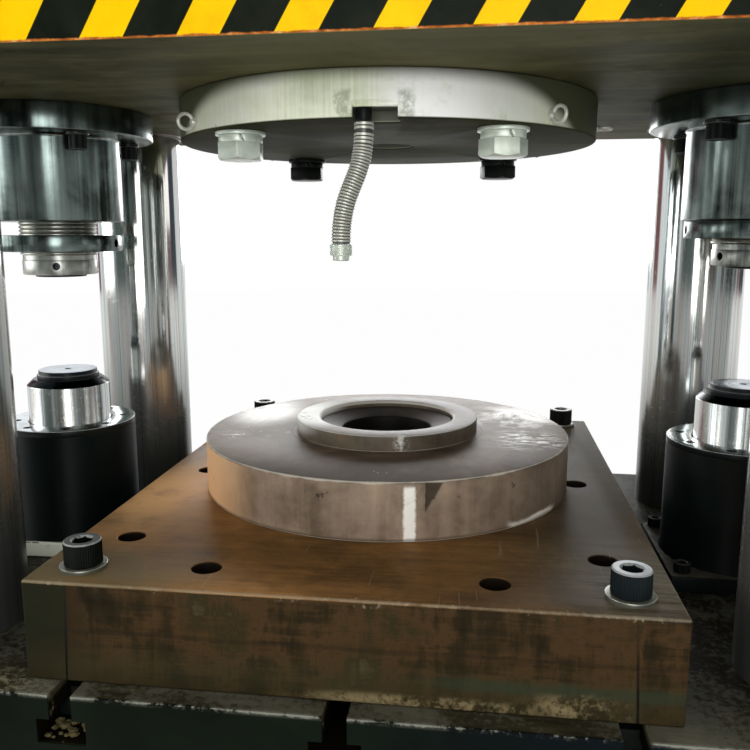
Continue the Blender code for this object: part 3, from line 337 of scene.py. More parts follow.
    def edge(self) -> Value:
        """Return 1 where the surface is neither upright nor level, as on its rounded edges."""
        x, y, z = self.normal()
        return (1.0 - abs(z).top(self.length(x, y))).rise(0.02, 0.12)

    def level(self) -> Value:
        """Return 1 where the surface is level."""
        return abs(self.normal()[2]).rise(0.93, 0.98)

    def dust(self, mixed: Value) -> Value:
        """Return where dust lies on what faces upwards."""
        return self.normal()[2].rise(0.75, 0.97) * mixed.rise(0.30, 0.62)

    def grime(self) -> Value:
        """Return where grime runs down."""
        return self.noise((3.0, 3.0, 0.6), 3.0, 6.0, 0.65).rise(0.5, 0.75)

    def from_edge(self, half_x: float, half_y: float, top: float) -> Value:
        """Return the distance to the upper edges of a block that is centred on the upright axis."""
        x, y, z = self.axes()
        return (half_x - abs(x)).math("MINIMUM", half_y - abs(y)).top(top - z)

    def from_corner(self, block: Block) -> Value:
        """Return the distance to the nearest of a block's twelve edges.

        Args:
            block: the block's lowest and highest corners.

        Returns:
            The distance in metres.
        """
        low, high = block
        spots = self.axes(self.place(tuple((a + b) / 2 for a, b in zip(low, high))))
        a, b, c = ((top - bottom) / 2 - abs(spot) for spot, bottom, top in zip(spots, low, high))
        return a.math("MINIMUM", b).top(a.top(b).math("MINIMUM", c))

    def knocked(self, tone: Value, block: Block, grain: Value) -> tuple[Value, Value]:
        """Knock paint off along a block's edges.

        Args:
            tone: the paint.
            block: the block's lower and upper corner.
            grain: noise of the bare steel.

        Returns:
            The tone with primer and bare steel, and where the steel is bare.
        """
        gap = self.from_corner(block) - self.noise((1, 1, 1), 24.0, 6.0, 0.72) * 0.055
        steel = gap.rise(-0.0245, -0.0275)
        return self.coats(tone, (gap.rise(-0.0225, -0.0245) * 0.85, 0x6E462E),
                          (steel * 0.9, self.blend(grain.rise(0.4, 0.6), 0x544C3E, 0x9E9888))), steel

    def patch(self, centre: Point, size: Point, blur: float = 0.4) -> Value:
        """Return 1 inside an egg-shaped patch, falling to 0 round it.

        Args:
            centre: the patch's middle.
            size: its half sizes.
            blur: share of the size over which it falls.

        Returns:
            The patch.
        """
        away = self.vector("LENGTH", self.place(centre, tuple(1.0 / length for length in size)), out=1)
        return away.rise(1.0 + blur, 1.0 - blur)

    def bump(self, height: Value, strength: float, distance: float) -> Value:
        """Return the normal after a bump."""
        return self.make("ShaderNodeBump", None, {"Strength": strength, "Distance": distance,
                                                  "Height": height})

    def finish(self, **sockets: object) -> bpy.types.Material:
        """Feed the shader's sockets, named with underscores for blanks, and return the material.

        Args:
            sockets: a value for each named socket.

        Returns:
            The material.
        """
        for name, value in sockets.items():
            self.feed(self.shader.inputs[name.replace("_", " ").title().replace("Ior", "IOR")], value)
        return self.material


@dataclass(frozen=True)
class Finish:
    """A finish that pieces share; made once."""

    name: str

    def material(self) -> bpy.types.Material:
        """Return the finish's material, made on its first use."""
        return bpy.data.materials.get(self.name) or self.build(Sheet(self.name))

    def build(self, sheet: Sheet) -> bpy.types.Material:
        """Build the material on a sheet."""
        return sheet.finish(roughness=0.5)


@dataclass(frozen=True)
class MachinePaint(Finish):
    """Old glossy machine paint, chipped at its edges and dusty, with an optional near-white patch: rubbed paint with a
    painted highlight on it.
    """

    colour: int = 0x182A26
    chip: int = 0x60523E
    wear: float = 1.0
    gloss: float = 0.32
    shine: float = 0.20
    # bare: a near-white patch, rubbed paint with a painted highlight on it
    bare: Block | None = None
    block: Block | None = None

    def build(self, sheet: Sheet) -> bpy.types.Material:
        """Paint with an uneven colour, chips that show primer and rust, and an orange-peel bump.

        Args:
            sheet: the material's open node sheet.

        Returns:
            The material.
        """
        place = sheet.place()
        z = sheet.axes(place)[2]
        cloud, fine = sheet.noise(place, 5.0, 5.0, 0.6), sheet.noise(place, 60.0, 4.0, 0.65)
        chips = (sheet.noise(place, 34.0, 6.0, 0.7) + sheet.edge() * (0.22 * self.wear)).rise(0.72, 0.76)
        mixed = cloud * 0.6 + fine * 0.4
        grime, dust = sheet.grime(), sheet.dust(mixed)
        tone = sheet.uneven(cloud.rise(0.3, 0.7), self.colour, 0.7, 1.45)
        tone = sheet.blend(grime * 0.5, tone, 0x2C261A)
        # near-white patch: rubbed-bare paint under a painted highlight
        if self.bare:
            tone = sheet.blend(sheet.patch(*self.bare, 0.12) * mixed.rise(0.26, 0.40) * 0.95, tone, 0xEAECD8)
        scuff = sheet.noise((2.0, 2.0, 26.0), 3.0, 3.0, 0.5, 0.5).rise(0.66, 0.72)
        splash = z.rise(0.20, 0.0) * (grime * 0.5 + fine * 0.5).rise(0.15, 0.55)
        tone = sheet.coats(tone, (scuff * 0.35, shade(self.colour, 2.6)), (dust * 0.5, 0x686252),
                           (splash * 0.7, 0x423A2C))
        if self.block:
            tone, steel = sheet.knocked(tone, self.block, fine)
            chips = chips.top(steel)
        skin = sheet.noise(place, 420.0, 1.0)
        return sheet.finish(
            base_color=sheet.blend(chips * (0.0 if self.block else 1.0), tone, self.chip),
            roughness=grime * 0.25 + fine * 0.12 + chips * 0.25 + dust * 0.35 + self.gloss - 0.06,
            specular_ior_level=self.shine,
            normal=sheet.bump(skin * 0.3 - chips + cloud * 0.5, 0.35, 0.0012))


@dataclass(frozen=True)
class HazardPaint(Finish):
    """Machine paint with a black and yellow striped band along the lower front edge."""

    front: float = -0.468
    low: float = 1.471
    height: float = 0.150
    turns: float = 9.58
    crowding: float = 1.25
    black_share: float = 0.555
    start: float = -0.3142
    start_height: float = 1.474
    lean: float = 0.59
    blur: float = 0.012
    block: Block = ((-0.7, -0.468, 1.471), (0.7, 0.468, 1.921))

    def stripes(self, sheet: Sheet, place: Value, scuff: Value) -> Value:
        """Return the leaning stripes.

        Args:
            sheet: the node sheet.
            place: the object's own coordinates.
            scuff: noise that makes the stripes uneven.

        Returns:
            The stripes' colour.
        """
        x, _, z = sheet.axes(place)
        wobble = (sheet.noise(place, 45.0, 3.0) - 0.5) * 0.0008
        run = x - (z - self.start_height) * self.lean - self.start + wobble
        phase = (run * self.turns + run * run * self.crowding).math("FRACT")
        black = phase.rise(0.0, self.blur) * phase.rise(self.black_share + self.blur, self.black_share)
        yellow = sheet.ramp(scuff, (0.25, 0xECAC00), (0.5, 0xF7C400), (0.8, 0xFCD008))
        return sheet.blend(black, yellow, sheet.blend(scuff.rise(0.35, 0.75), 0x0C120A, 0x1C2116))

    def build(self, sheet: Sheet) -> bpy.types.Material:
        """Stripes on the front only, with near-white specks on their right that are painted glints; the underside is
        bare oily steel and the rest is paint.

        Args:
            sheet: the material's open node sheet.

        Returns:
            The material.
        """
        place = sheet.place()
        x, y, z = sheet.axes(place)
        up = z - self.low
        front = (y - self.front).rise(0.004, 0.002)
        band = front * (up - self.height).rise(0.0005, -0.0005)
        scuff, cloud = sheet.noise(place, 14.0, 6.0, 0.7), sheet.noise(place, 5.0, 5.0, 0.6)
        grime, dust = sheet.grime(), sheet.dust(cloud * 0.5 + scuff * 0.5)
        paint = sheet.coats(sheet.blend(cloud.rise(0.3, 0.7), 0x142421, 0x223630),
                            (grime * 0.5, 0x2C261A), (dust * 0.5, 0x686252))
        paint, _ = sheet.knocked(paint, self.block, scuff)
        bare = front * (up - sheet.noise((1.0, 1.0, 0.35), 42.0, 5.0, 0.7) * 0.005).rise(0.0012, -0.0006)
        rust = sheet.ramp(sheet.noise(place, 90.0, 4.0), (0.3, 0x7A3E16), (0.55, 0xC4702E), (0.75, 0xE2BE82))
        under = up.rise(0.0012, 0.0004)
        streak = sheet.noise((0.6, 3.0, 1.0), 6.0, 6.0, 0.65, 0.4)
        stain = sheet.noise(place, 3.2, 6.0, 0.62, 0.6)
        steel = sheet.coats(
            sheet.ramp(streak * 0.45 + stain * 0.55, (0.36, 0x2C2B19), (0.47, 0x42412A), (0.56, 0x5A583C),
                       (0.66, 0x503C26)),
            (x.near(0.02, 0.10, 0.20) * 0.35, 0x706E4C), (x.rise(0.28, 0.42) * 0.4, 0x262A18))
        # near-white specks on the band's right: painted glints
        specks = sheet.noise(place, 160.0, 3.0, 0.8).rise(0.73, 0.77) * band * x.rise(0.0, 0.6)
        rough = under * 0.2 + bare * 0.3 + scuff * 0.12 + dust * 0.35 + grime * 0.2 + 0.26
        return sheet.finish(
            base_color=sheet.coats(paint, (band, self.stripes(sheet, place, scuff)), (bare, rust), (under, steel),
                                   (specks, (0.9, 0.9, 0.88))),
            roughness=rough + 0.06,
            metallic=under * 0.02,
            specular_ior_level=0.05,
            normal=sheet.bump(scuff + bare * -1.5 + under * streak, 0.25, 0.001))


@dataclass(frozen=True)
class RustySteel(Finish):
    """Rolled plate with brown rust, oil stains, worn bright edges, a painted sheen on its top and painted shade in its
    holes.
    """

    top: float = 0.884
    front: float = -0.457
    half: tuple[float, float] = (0.375, 0.457)
    scribes: tuple[tuple[float, float], ...] = ((-0.320, 0.0005), (0.320, 0.0006))

    def build(self, sheet: Sheet) -> bpy.types.Material:
        """Warm brown on top with cloudy rust and a tan painted sheen at the left, darker and greener on the front,
        marks at the screws, painted shade in the holes.

        Args:
            sheet: the material's open node sheet.

        Returns:
            The material.
        """
        place = sheet.place()
        x, y, z = sheet.axes(place)
        up = z - self.top
        big, mid = sheet.noise(place, 2.6, 5.0, 0.55, 0.5), sheet.noise(place, 11.0, 7.0, 0.66, 0.3)
        fine, drag = sheet.noise(place, 130.0, 5.0, 0.7), sheet.noise((1.0, 14.0, 14.0), 9.0, 5.0, 0.7)
        down = sheet.noise((7.0, 7.0, 1.1), 5.0, 6.0, 0.7, 0.3)
        warm = sheet.ramp(big * 0.5 + mid * 0.32 + drag * 0.18, (0.34, 0x3C2A16), (0.44, 0x624626),
                          (0.52, 0x845E34), (0.60, 0xA27442), (0.70, 0x625036))
        grey = sheet.ramp(mid * 0.6 + fine * 0.4, (0.36, 0x1C1C13), (0.5, 0x323225), (0.64, 0x4C4C3C))
        # the orange patch is a painted sheen of light over the rust on the top's left
        orange = sheet.patch((-0.325, -0.11, self.top), (0.066, 0.17, 0.05), 0.8)
        olive = sheet.patch((-0.32, -0.43, self.top), (0.13, 0.075, 0.05), 0.6)
        smear = sheet.patch((0.345, -0.36, self.top), (0.07, 0.10, 0.05), 0.7)
        top_tone = sheet.coats(
            warm, ((x * 1.2 + big * 0.5 - 0.2).rise(0.10, 0.45) * 0.85, grey),
            (orange * (mid * 0.5 + big * 0.5).rise(0.30, 0.52) * 0.9, 0xDEAC70),
            (olive * (mid * 0.5 + drag * 0.5).rise(0.3, 0.5) * 0.75, 0x645E44),
            ((y + 0.28 + big * 0.2).rise(0.10, -0.14) * 0.08, 0x302517),
            (smear * drag.rise(0.3, 0.6) * 0.6, 0x847E70))
        side_tone = sheet.coats(
            sheet.ramp(mid * 0.45 + down * 0.35 + drag * 0.2, (0.36, 0x120E04), (0.45, 0x261D0C),
                       (0.52, 0x402E18), (0.59, 0x2C2512), (0.70, 0x50462C)),
            (x.rise(-0.24, -0.36) * 0.85, 0x181306), (up.rise(-0.055, -0.11) * 0.5, 0x32301E),
            ((up + mid * 0.012).near(-0.052, 0.001, 0.004) * 0.4, 0x1E180E))
        side = up.rise(-0.002, -0.004)
        lines = self.scribed(x, up)
        lines = lines * side * up.rise(-0.005, -0.09) * 0.7 + lines * side * mid.rise(0.3, 0.6) * 0.3
        panel = (x - self.scribes[0][0]).rise(0.0006, -0.0006) * side * (up + big * 0.05).rise(-0.09, -0.03)
        mould = (up + (mid - 0.5) * 0.02).near(-0.091, 0.003, 0.008) * side * x.rise(0.06, 0.16)
        blot = sheet.patch((0.262, self.front, self.top - 0.112), (0.045, 0.03, 0.014), 0.7).top(
            sheet.patch((0.10, self.front, self.top - 0.118), (0.12, 0.03, 0.008), 0.6))
        away = sheet.from_edge(*self.half, self.top)
        bite = fine * 0.5 + mid * 0.5
        edges = (away - bite * 0.010).rise(-0.0015, -0.0042).top(sheet.edge() * bite.rise(0.42, 0.52))
        nicks = (away - mid * 0.03).rise(-0.006, -0.013) * fine.rise(0.60, 0.66)
        # painted shade: the holes' walls below the top are darkened
        holes = (self.top - z).rise(0.0006, 0.0012)
        for axis, half in zip((x, y), self.half):
            holes = holes * abs(axis).rise(half - 0.0015, half - 0.0025)
        scratch = sheet.noise((40.0, 2.0, 2.0), 4.0, 2.0, 0.5, 0.8).rise(0.68, 0.74) * (1.0 - side)
        pits = fine.rise(0.36, 0.26)
        return sheet.finish(
            base_color=sheet.coats(
                top_tone, (side, side_tone), (panel * 0.6, 0x161C0E), (mould * 0.6, 0x2C3626),
                (blot * (mid * 0.6 + fine * 0.4).rise(0.44, 0.56) * side, 0x807252), (lines, 0x100B07),
                (edges * away.rise(0.006, 0.004) * 0.6, 0x8E826C), (nicks * 0.5, 0xAA9E86),
                (holes * 0.92, 0x120D08), (scratch * 0.3, 0x968A72), (pits * 0.6, 0x1A120B)),
            roughness=fine * 0.16 + mid * 0.22 + side * 0.14 + 0.36 - edges * 0.12,
            metallic=edges * 0.3,
            specular_ior_level=0.08,
            normal=sheet.bump(mid * 0.5 + fine * 0.35 - lines * 1.5 - pits * 0.6 - edges * 0.4, 0.4, 0.0014))

    def scribed(self, x: Value, up: Value) -> Value:
        """Return the lines scribed down from the front screws.

        Args:
            x: the place along the plate.
            up: height from the plate's top.

        Returns:
            1 on the lines.
        """
        lines: Value | float = 0.0
        for at, width in self.scribes:
            lean = up * (0.045 if at < 0 else -0.05)
            lines = (x - at - lean).near(0.0, width, 0.0016) + lines
        return lines


@dataclass(frozen=True)
class TurnedSteel(Finish):
    """Steel turned on a lathe, with rings on faces, fine rings round the sides and stains."""

    centre: Point = (0.0, 0.0, 0.0)
    bright: int = 0xB0AA9E
    dark: int = 0x544A3C
    stain: int = 0x785434
    stains: float = 0.5
    gloss: float = 0.3
    metal: float = 0.85
    rings: float = 900.0
    streaks: float = 0.5
    edge_wear: float = 0.7
    shine: float = 0.5
    glare: tuple[Block, ...] = ()
    # sunk: radius and heights of the holes that get painted shade
    sunk: Point | None = None

    def build(self, sheet: Sheet) -> bpy.types.Material:
        """Rings from the distance to the axis and the height, with cloudy stains over them, painted glare patches and
        painted shade in sunk holes.

        Args:
            sheet: the material's open node sheet.

        Returns:
            The material.
        """
        place = sheet.place()
        z = sheet.axes(sheet.place(self.centre))[2]
        span = sheet.span(self.centre)
        cloud, fine = sheet.noise(place, 7.0, 6.0, 0.6, 0.5), sheet.noise(place, 110.0, 4.0, 0.7)
        ring = sheet.noise(sheet.join(span * self.rings, z * self.rings, 0.0), 1.0, 2.0, 0.6)
        streak = sheet.noise(sheet.round_place(self.centre, 9.0, 1.4), 1.0, 4.0, 0.6)
        spots = sheet.noise(place, 55.0, 3.0, 0.6).rise(0.70, 0.76) * self.stains
        tone = sheet.coats(
            sheet.blend((streak - 0.5) * self.streaks + cloud.rise(0.28, 0.72), self.dark, self.bright),
            (cloud.rise(0.5, 0.72) * self.stains, self.stain), (spots, shade(self.dark, 0.3)))
        for broken, spot in enumerate(self.glare):
            spread = cloud * (0.6 - broken * 0.3) + fine * (0.4 + broken * 0.3)
            lit = sheet.patch(*spot, 0.5 + broken * 0.4) * spread.rise(0.34 + broken * 0.12, 0.46 + broken * 0.14)
            tone = sheet.blend(lit * (1.0 - broken * 0.25), tone, 0xE4E4DE)
        tone = sheet.blend(sheet.edge() * self.edge_wear, tone, 0xD6D0C4)
        # painted shade: holes and the recess inside the sunk radius are darkened
        if self.sunk:
            radius, low, high = self.sunk
            height = sheet.axes(place)[2]
            hole = (span - radius).rise(0.0, -0.001)
            hole = hole * (height - low).rise(0.0, 0.001) * (high - height).rise(0.0, 0.001)
            tone = sheet.blend(hole * 0.95, tone, 0x0E1014)
        return sheet.finish(
            base_color=tone,
            roughness=cloud * 0.2 + fine * 0.12 + ring * 0.08 + self.gloss - 0.2,
            metallic=self.metal,
            specular_ior_level=self.shine,
            normal=sheet.bump(ring * 0.5 + fine * 0.2 - spots * 0.5, 0.16, 0.0006))


@dataclass(frozen=True)
class DiscSteel(Finish):
    """Turned steel of the die disc, with worn places under a painted highlight, a painted sheen on the side's left, a
    dark patch, rust by the plate and painted shade in the mouth and bore.
    """

    centre: Point = (0.0, 0.0, 0.8843)
    radius: float = 0.290
    top: float = 0.966
    mouth: float = 0.1055
    bore: float = 0.0735
    groove: float = 0.1545

    def shine(self, sheet: Sheet, cloud: Value, ring: Value) -> Value:
        """Return where the top is worn, with a painted highlight on the worn places.

        Args:
            sheet: the node sheet.
            cloud: coarse noise.
            ring: turning marks.

        Returns:
            1 where the painted highlight lies.
        """
        scratch = sheet.noise((1.0, 3.0, 1.0), 26.0, 7.0, 0.75, 0.6)

        def spot(x: float, y: float, wide: float, deep: float, blur: float) -> Value:
            """Return a worn place on the top, which carries a painted highlight."""
            return sheet.patch((x, y, self.top), (wide, deep, 0.03), blur)

        shine = spot(-0.222, 0.095, 0.052, 0.085, 0.6) * (cloud * 0.5 + ring * 0.5).rise(0.30, 0.56)
        shine = shine.top(spot(0.215, 0.110, 0.075, 0.080, 0.6) * cloud.rise(0.38, 0.58))
        shine = shine.top(spot(0.225, -0.045, 0.055, 0.055, 0.4) * scratch.rise(0.48, 0.62))
        return shine.top(spot(-0.235, -0.060, 0.060, 0.050, 0.5) * scratch.rise(0.54, 0.66) * 0.6)

    def build(self, sheet: Sheet) -> bpy.types.Material:
        """Brown-grey steel: the top darker near the front, the side with run-down stains and marks, a painted sheen at
        its left, darker to the right, and a painted glint.

        Args:
            sheet: the material's open node sheet.

        Returns:
            The material.
        """
        place = sheet.place()
        x, y, z = sheet.axes(place)
        up, depth, height = z - self.top, self.top - z, z - self.centre[2]
        span = sheet.span(self.centre)
        big, cloud = sheet.noise(place, 4.2, 5.0, 0.6, 0.5), sheet.noise(place, 15.0, 6.0, 0.64, 0.4)
        fine = sheet.noise(place, 150.0, 4.0, 0.7)
        ring = sheet.noise(sheet.join(span * 620.0, z * 620.0, 0.0), 1.0, 2.0, 0.6)
        streak = sheet.noise(sheet.round_place(self.centre, 13.0, 2.2), 1.0, 5.0, 0.62)
        drag = sheet.noise(sheet.round_place(self.centre, 2.4, 9.0), 1.0, 5.0, 0.65)
        front = (y + big * 0.10).rise(-0.06, -0.24)
        shine = self.shine(sheet, cloud, ring)
        # the worn places on the top carry a near-white painted highlight
        level = sheet.coats(
            sheet.ramp(big * 0.55 + cloud * 0.35 + ring * 0.10, (0.36, 0x3A2F24), (0.46, 0x5C4C3C),
                       (0.54, 0x7C6856), (0.62, 0x948472), (0.70, 0x6C5842)),
            (front * 0.7, 0x382F25), (shine * 0.9, 0xDEDAD2))
        side = up.rise(-0.0018, -0.003)
        glint = (x + (fine - 0.5) * 0.006).near(0.0630, 0.0052, 0.0045) * up.rise(-0.004, -0.010)
        dark = (x + (fine - 0.5) * 0.004).rise(0.0822, 0.0834)
        dark = dark * (0.108 - depth * 0.56 - x + (cloud - 0.5) * 0.012).rise(0.0, 0.004) * depth.rise(0.048, 0.040)
        foot_worn = (height - (cloud - 0.4) * 0.03).rise(0.010, 0.002) * x.near(0.226, 0.026, 0.012)
        # painted sheen: the side's left is lightened to tan; it grows darker to the right; glint is a painted glint
        wall = sheet.coats(
            sheet.ramp(streak * 0.25 + cloud * 0.35 + drag * 0.4, (0.38, 0x56493A), (0.46, 0x786756),
                       (0.54, 0x927F6C), (0.62, 0xA89177), (0.72, 0x7C6246)),
            ((x + 0.02).rise(0.08, 0.26) * 0.55, 0x4E4236), (x.rise(-0.14, -0.24) * 0.85, 0xECBC8A),
            (glint * cloud.rise(0.20, 0.45) * 0.9, 0xFAF6EC), (dark * 0.85, 0x2E261E),
            (foot_worn * 0.9 * (y * -1.0).rise(0.0, 0.05), 0xE2DACC),
            ((height - cloud * 0.008).rise(0.002, -0.002) * 0.6, 0x463828))
        away = (self.radius - span).top(depth)
        worn = (away - cloud * 0.008).rise(-0.0012, -0.0034).top(sheet.edge() * 0.8)
        groove = (span - self.groove).near(0.0, 0.0005, 0.0012) * (1.0 - side)
        spots = sheet.noise(place, 48.0, 3.0, 0.6).rise(0.70, 0.75)
        specks = sheet.noise(place, 75.0, 2.0, 0.5).rise(0.74, 0.77) * (1.0 - side)
        # painted shade: the mouth and the bore are darkened
        return sheet.finish(
            base_color=sheet.coats(
                level, (side, wall), (worn * 0.75, 0xCEC6B6), (groove * 0.7, 0x282018), (spots * 0.7, 0x221B14),
                (specks, 0xE2DED4), ((span - self.mouth).rise(0.001, -0.001) * 0.96,
                                     sheet.blend(cloud.rise(0.35, 0.65), 0x1A140F, 0x403228)),
                ((span - self.bore).rise(0.001, -0.001), 0x0C0906)),
            roughness=cloud * 0.20 + fine * 0.10 + ring * 0.08 + 0.34 - shine * 0.14 + front * 0.10,
            metallic=shine * 0.15 + 0.03,
            specular_ior_level=0.15,
            normal=sheet.bump(ring * 0.45 + fine * 0.3 - spots * 0.6, 0.2, 0.0007))


@dataclass(frozen=True)
class Chrome(Finish):
    """Hard chrome with upright streaks, polishing marks with painted reflections in them, and a thin film of oil and
    dust.
    """

    centre: Point = (0.0, 0.0, 0.0)
    low: float = 0.76
    film: float = 0.5
    blur: float = 0.05
    # shade: below 1 the whole chrome is darkened as painted shade
    shade: float = 1.0
    cap: float = 10.0
    reach: float = 0.36

    def build(self, sheet: Sheet) -> bpy.types.Material:
        """Mirror steel with painted reflections in its upright streaks, whose film is thicker low down and runs in
        upright streaks.

        Args:
            sheet: the material's open node sheet.

        Returns:
            The material.
        """
        z = sheet.axes()[2]
        streak = sheet.noise(sheet.round_place(self.centre, 6.5, 0.35), 1.0, 5.0, 0.62)
        thin = sheet.noise(sheet.round_place(self.centre, 26.0, 0.6), 1.0, 3.0, 0.6)
        spots = sheet.noise((1, 1, 1), 95.0, 4.0, 0.7)
        low = (z - self.low).rise(self.reach, 0.04) * self.film
        # the streak ramp's tinted tones are painted reflections; shade darkens the chrome as painted shade
        return sheet.finish(
            base_color=sheet.coats(
                sheet.ramp(streak * 0.65 + thin * 0.35, (0.34, 0x788686), (0.43, 0xB0BABA), (0.49, 0xDEE4E2),
                           (0.53, 0xC6BCB4), (0.58, 0xD8DCDA), (0.64, 0xAC968C), (0.72, 0x8C9490)),
                (1.0 - self.shade, 0x283030), (low * 1.1, 0x42443C),
                ((z - self.cap).rise(0.0, 0.0004), 0x101618)),
            roughness=low * 0.25 + thin * 0.10 + spots.rise(0.55, 0.75) * 0.12 + self.blur,
            metallic=1.0 - low * 0.45,
            specular_ior_level=0.3,
            normal=sheet.bump(thin, 0.03, 0.0005))


@dataclass(frozen=True)
class PalePaint(Finish):
    """Pale grey-green paint brushed on the platen's rim, with a painted highlight in its middle, painted shade towards
    its sides and top and in its holes; its underside is bare stained steel.
    """

    low: float = 1.413
    height: float = 0.0577
    radius: float = 0.311
    # dark_from: how far out along X the painted shadow covers the rim's whole height
    dark_from: float = 0.27

    def build(self, sheet: Sheet) -> bpy.types.Material:
        """Brush marks up and down the rim, worn places at the notch, a painted highlight, a painted shadow from above
        and towards the sides, and a brown underside.

        Args:
            sheet: the material's open node sheet.

        Returns:
            The material.
        """
        place = sheet.place()
        x, _, z = sheet.axes(place)
        up = (z - self.low) / self.height
        brush = sheet.noise(sheet.round_place((0, 0, 0), 70.0, 3.0), 1.0, 4.0, 0.65)
        cloud, fine = sheet.noise(place, 9.0, 5.0, 0.6, 0.4), sheet.noise(place, 140.0, 3.0, 0.7)
        streak = sheet.noise((1.0, 3.0, 1.0), 9.0, 6.0, 0.65, 0.5)
        # painted highlight on the middle of the rim
        rim_highlight = x.near(0.115, 0.050, 0.070) * (cloud * 0.7 + fine * 0.3).rise(0.3, 0.5)
        # painted shadow: darkens from the top down, over more of the rim towards its sides
        out = abs(x) / self.dark_from
        start = 0.66 - out * out * out * out * out * out * 1.1
        rim_shadow = (up - start + (cloud - 0.5) * 0.12).rise(0.0, 0.42)
        at_notch = sheet.vector("DISTANCE", place, (0.022, -self.radius, self.low + 0.020), out=1)
        patch = (at_notch + (cloud - 0.5) * 0.04).near(0.036, 0.006, 0.006) * fine.rise(0.3, 0.6)
        under = (z - self.low).rise(0.003, 0.001)
        steel = sheet.ramp(streak * 0.5 + cloud * 0.5, (0.34, 0x161808), (0.5, 0x282B14), (0.62, 0x3A371E),
                           (0.72, 0x502C16))
        chips = (fine * 0.4 + cloud * 0.6).rise(0.66, 0.70) * (1.0 - under)
        # painted shade in the bore, the holes and the notch
        inside = (self.radius - sheet.span((0, 0, 0))).rise(0.006, 0.012) * (1.0 - under) * up.rise(0.97, 0.94)
        # the rim also darkens towards its sides as painted shade
        return sheet.finish(
            base_color=sheet.coats(
                sheet.ramp(brush * 0.3 + cloud * 0.7, (0.32, 0xBEC6A8), (0.5, 0xE2E6D0), (0.68, 0xF4F5EC)),
                (rim_highlight * 0.8, 0xFAFAFA), (abs(x).rise(0.07, 0.19) * 0.42, 0x808868), (rim_shadow * 0.96, 0x32341F),
                (patch * up.rise(0.62, 0.50) * 0.6, 0x80886E), (under, steel), (chips, 0x605C46),
                (inside * 0.9, 0x2C3018)),
            roughness=under * 0.25 + brush * 0.15 + 0.42,
            specular_ior_level=0.08,
            normal=sheet.bump(brush * (1.0 - under) + fine * 0.3 - chips, 0.3, 0.0007))


@dataclass(frozen=True)
class TableSteel(Finish):
    """Bare oily table top with painted sides."""

    top: float = 0.76
    half: tuple[float, float] = (0.72, 0.487)
    paint: int = 0x081007

    def build(self, sheet: Sheet) -> bpy.types.Material:
        """Stained steel above, darkened as painted shade back from its front edge and in its slots, dark paint on the
        faces, bright nicks along the edge between them.

        Args:
            sheet: the material's open node sheet.

        Returns:
            The material.
        """
        place = sheet.place()
        x, y, z = sheet.axes(place)
        wide, front = self.half
        up = z - self.top
        cloud, fine = sheet.noise(place, 6.0, 6.0, 0.62, 0.5), sheet.noise(place, 120.0, 4.0, 0.7)
        drag = sheet.noise((1.0, 8.0, 1.0), 8.0, 5.0, 0.65)
        outside = abs(y).rise(front - 0.003, front - 0.001).top(abs(x).rise(wide - 0.003, wide - 0.001))
        bright = sheet.patch((-0.52, -front, self.top), (0.17, 0.05, 0.02), 0.5) * fine.rise(0.45, 0.6)
        # painted shade: the top darkens back from its front edge
        steel = sheet.coats(
            sheet.ramp(cloud * 0.6 + drag * 0.4, (0.34, 0x1E1C12), (0.46, 0x322E1F), (0.56, 0x484432),
                       (0.68, 0x68624A)),
            ((y + front).rise(0.02, 0.10) * 0.72, 0x110F0A), (bright * 0.7, 0x968E6E))
        paint = sheet.blend(x.rise(-0.05, 0.35) * 0.7, sheet.uneven(cloud.rise(0.3, 0.7), self.paint, 0.6, 1.5),
                            0x050E16)
        lip = up.near(-0.001, 0.0015, 0.004) * outside.top(up.near(0.0, 0.001, 0.001))
        ragged = fine * 0.45 + cloud * 0.55
        worn = (sheet.from_edge(*self.half, self.top) - ragged * 0.016).rise(-0.0050, -0.0078) + lip * 0.25
        worn = worn * ragged.rise(0.44, 0.52)
        # painted shade inside the slots
        inside = up.rise(-0.004, -0.012) * (1.0 - outside)
        litter = sheet.noise(place, 62.0, 6.0, 0.75).rise(0.6, 0.66) * inside * (y + front).rise(0.03, 0.0)
        return sheet.finish(
            base_color=sheet.coats(steel, (outside, paint), (worn * 0.75, 0x848478), (inside * 0.95, 0x0C0906),
                                   (litter, 0x968062)),
            roughness=outside * -0.06 + cloud * 0.3 + 0.32 - worn * 0.1,
            metallic=worn * 0.3,
            specular_ior_level=0.05,
            normal=sheet.bump(cloud * 0.5 + fine * 0.4 + worn * -0.4, 0.3, 0.001))


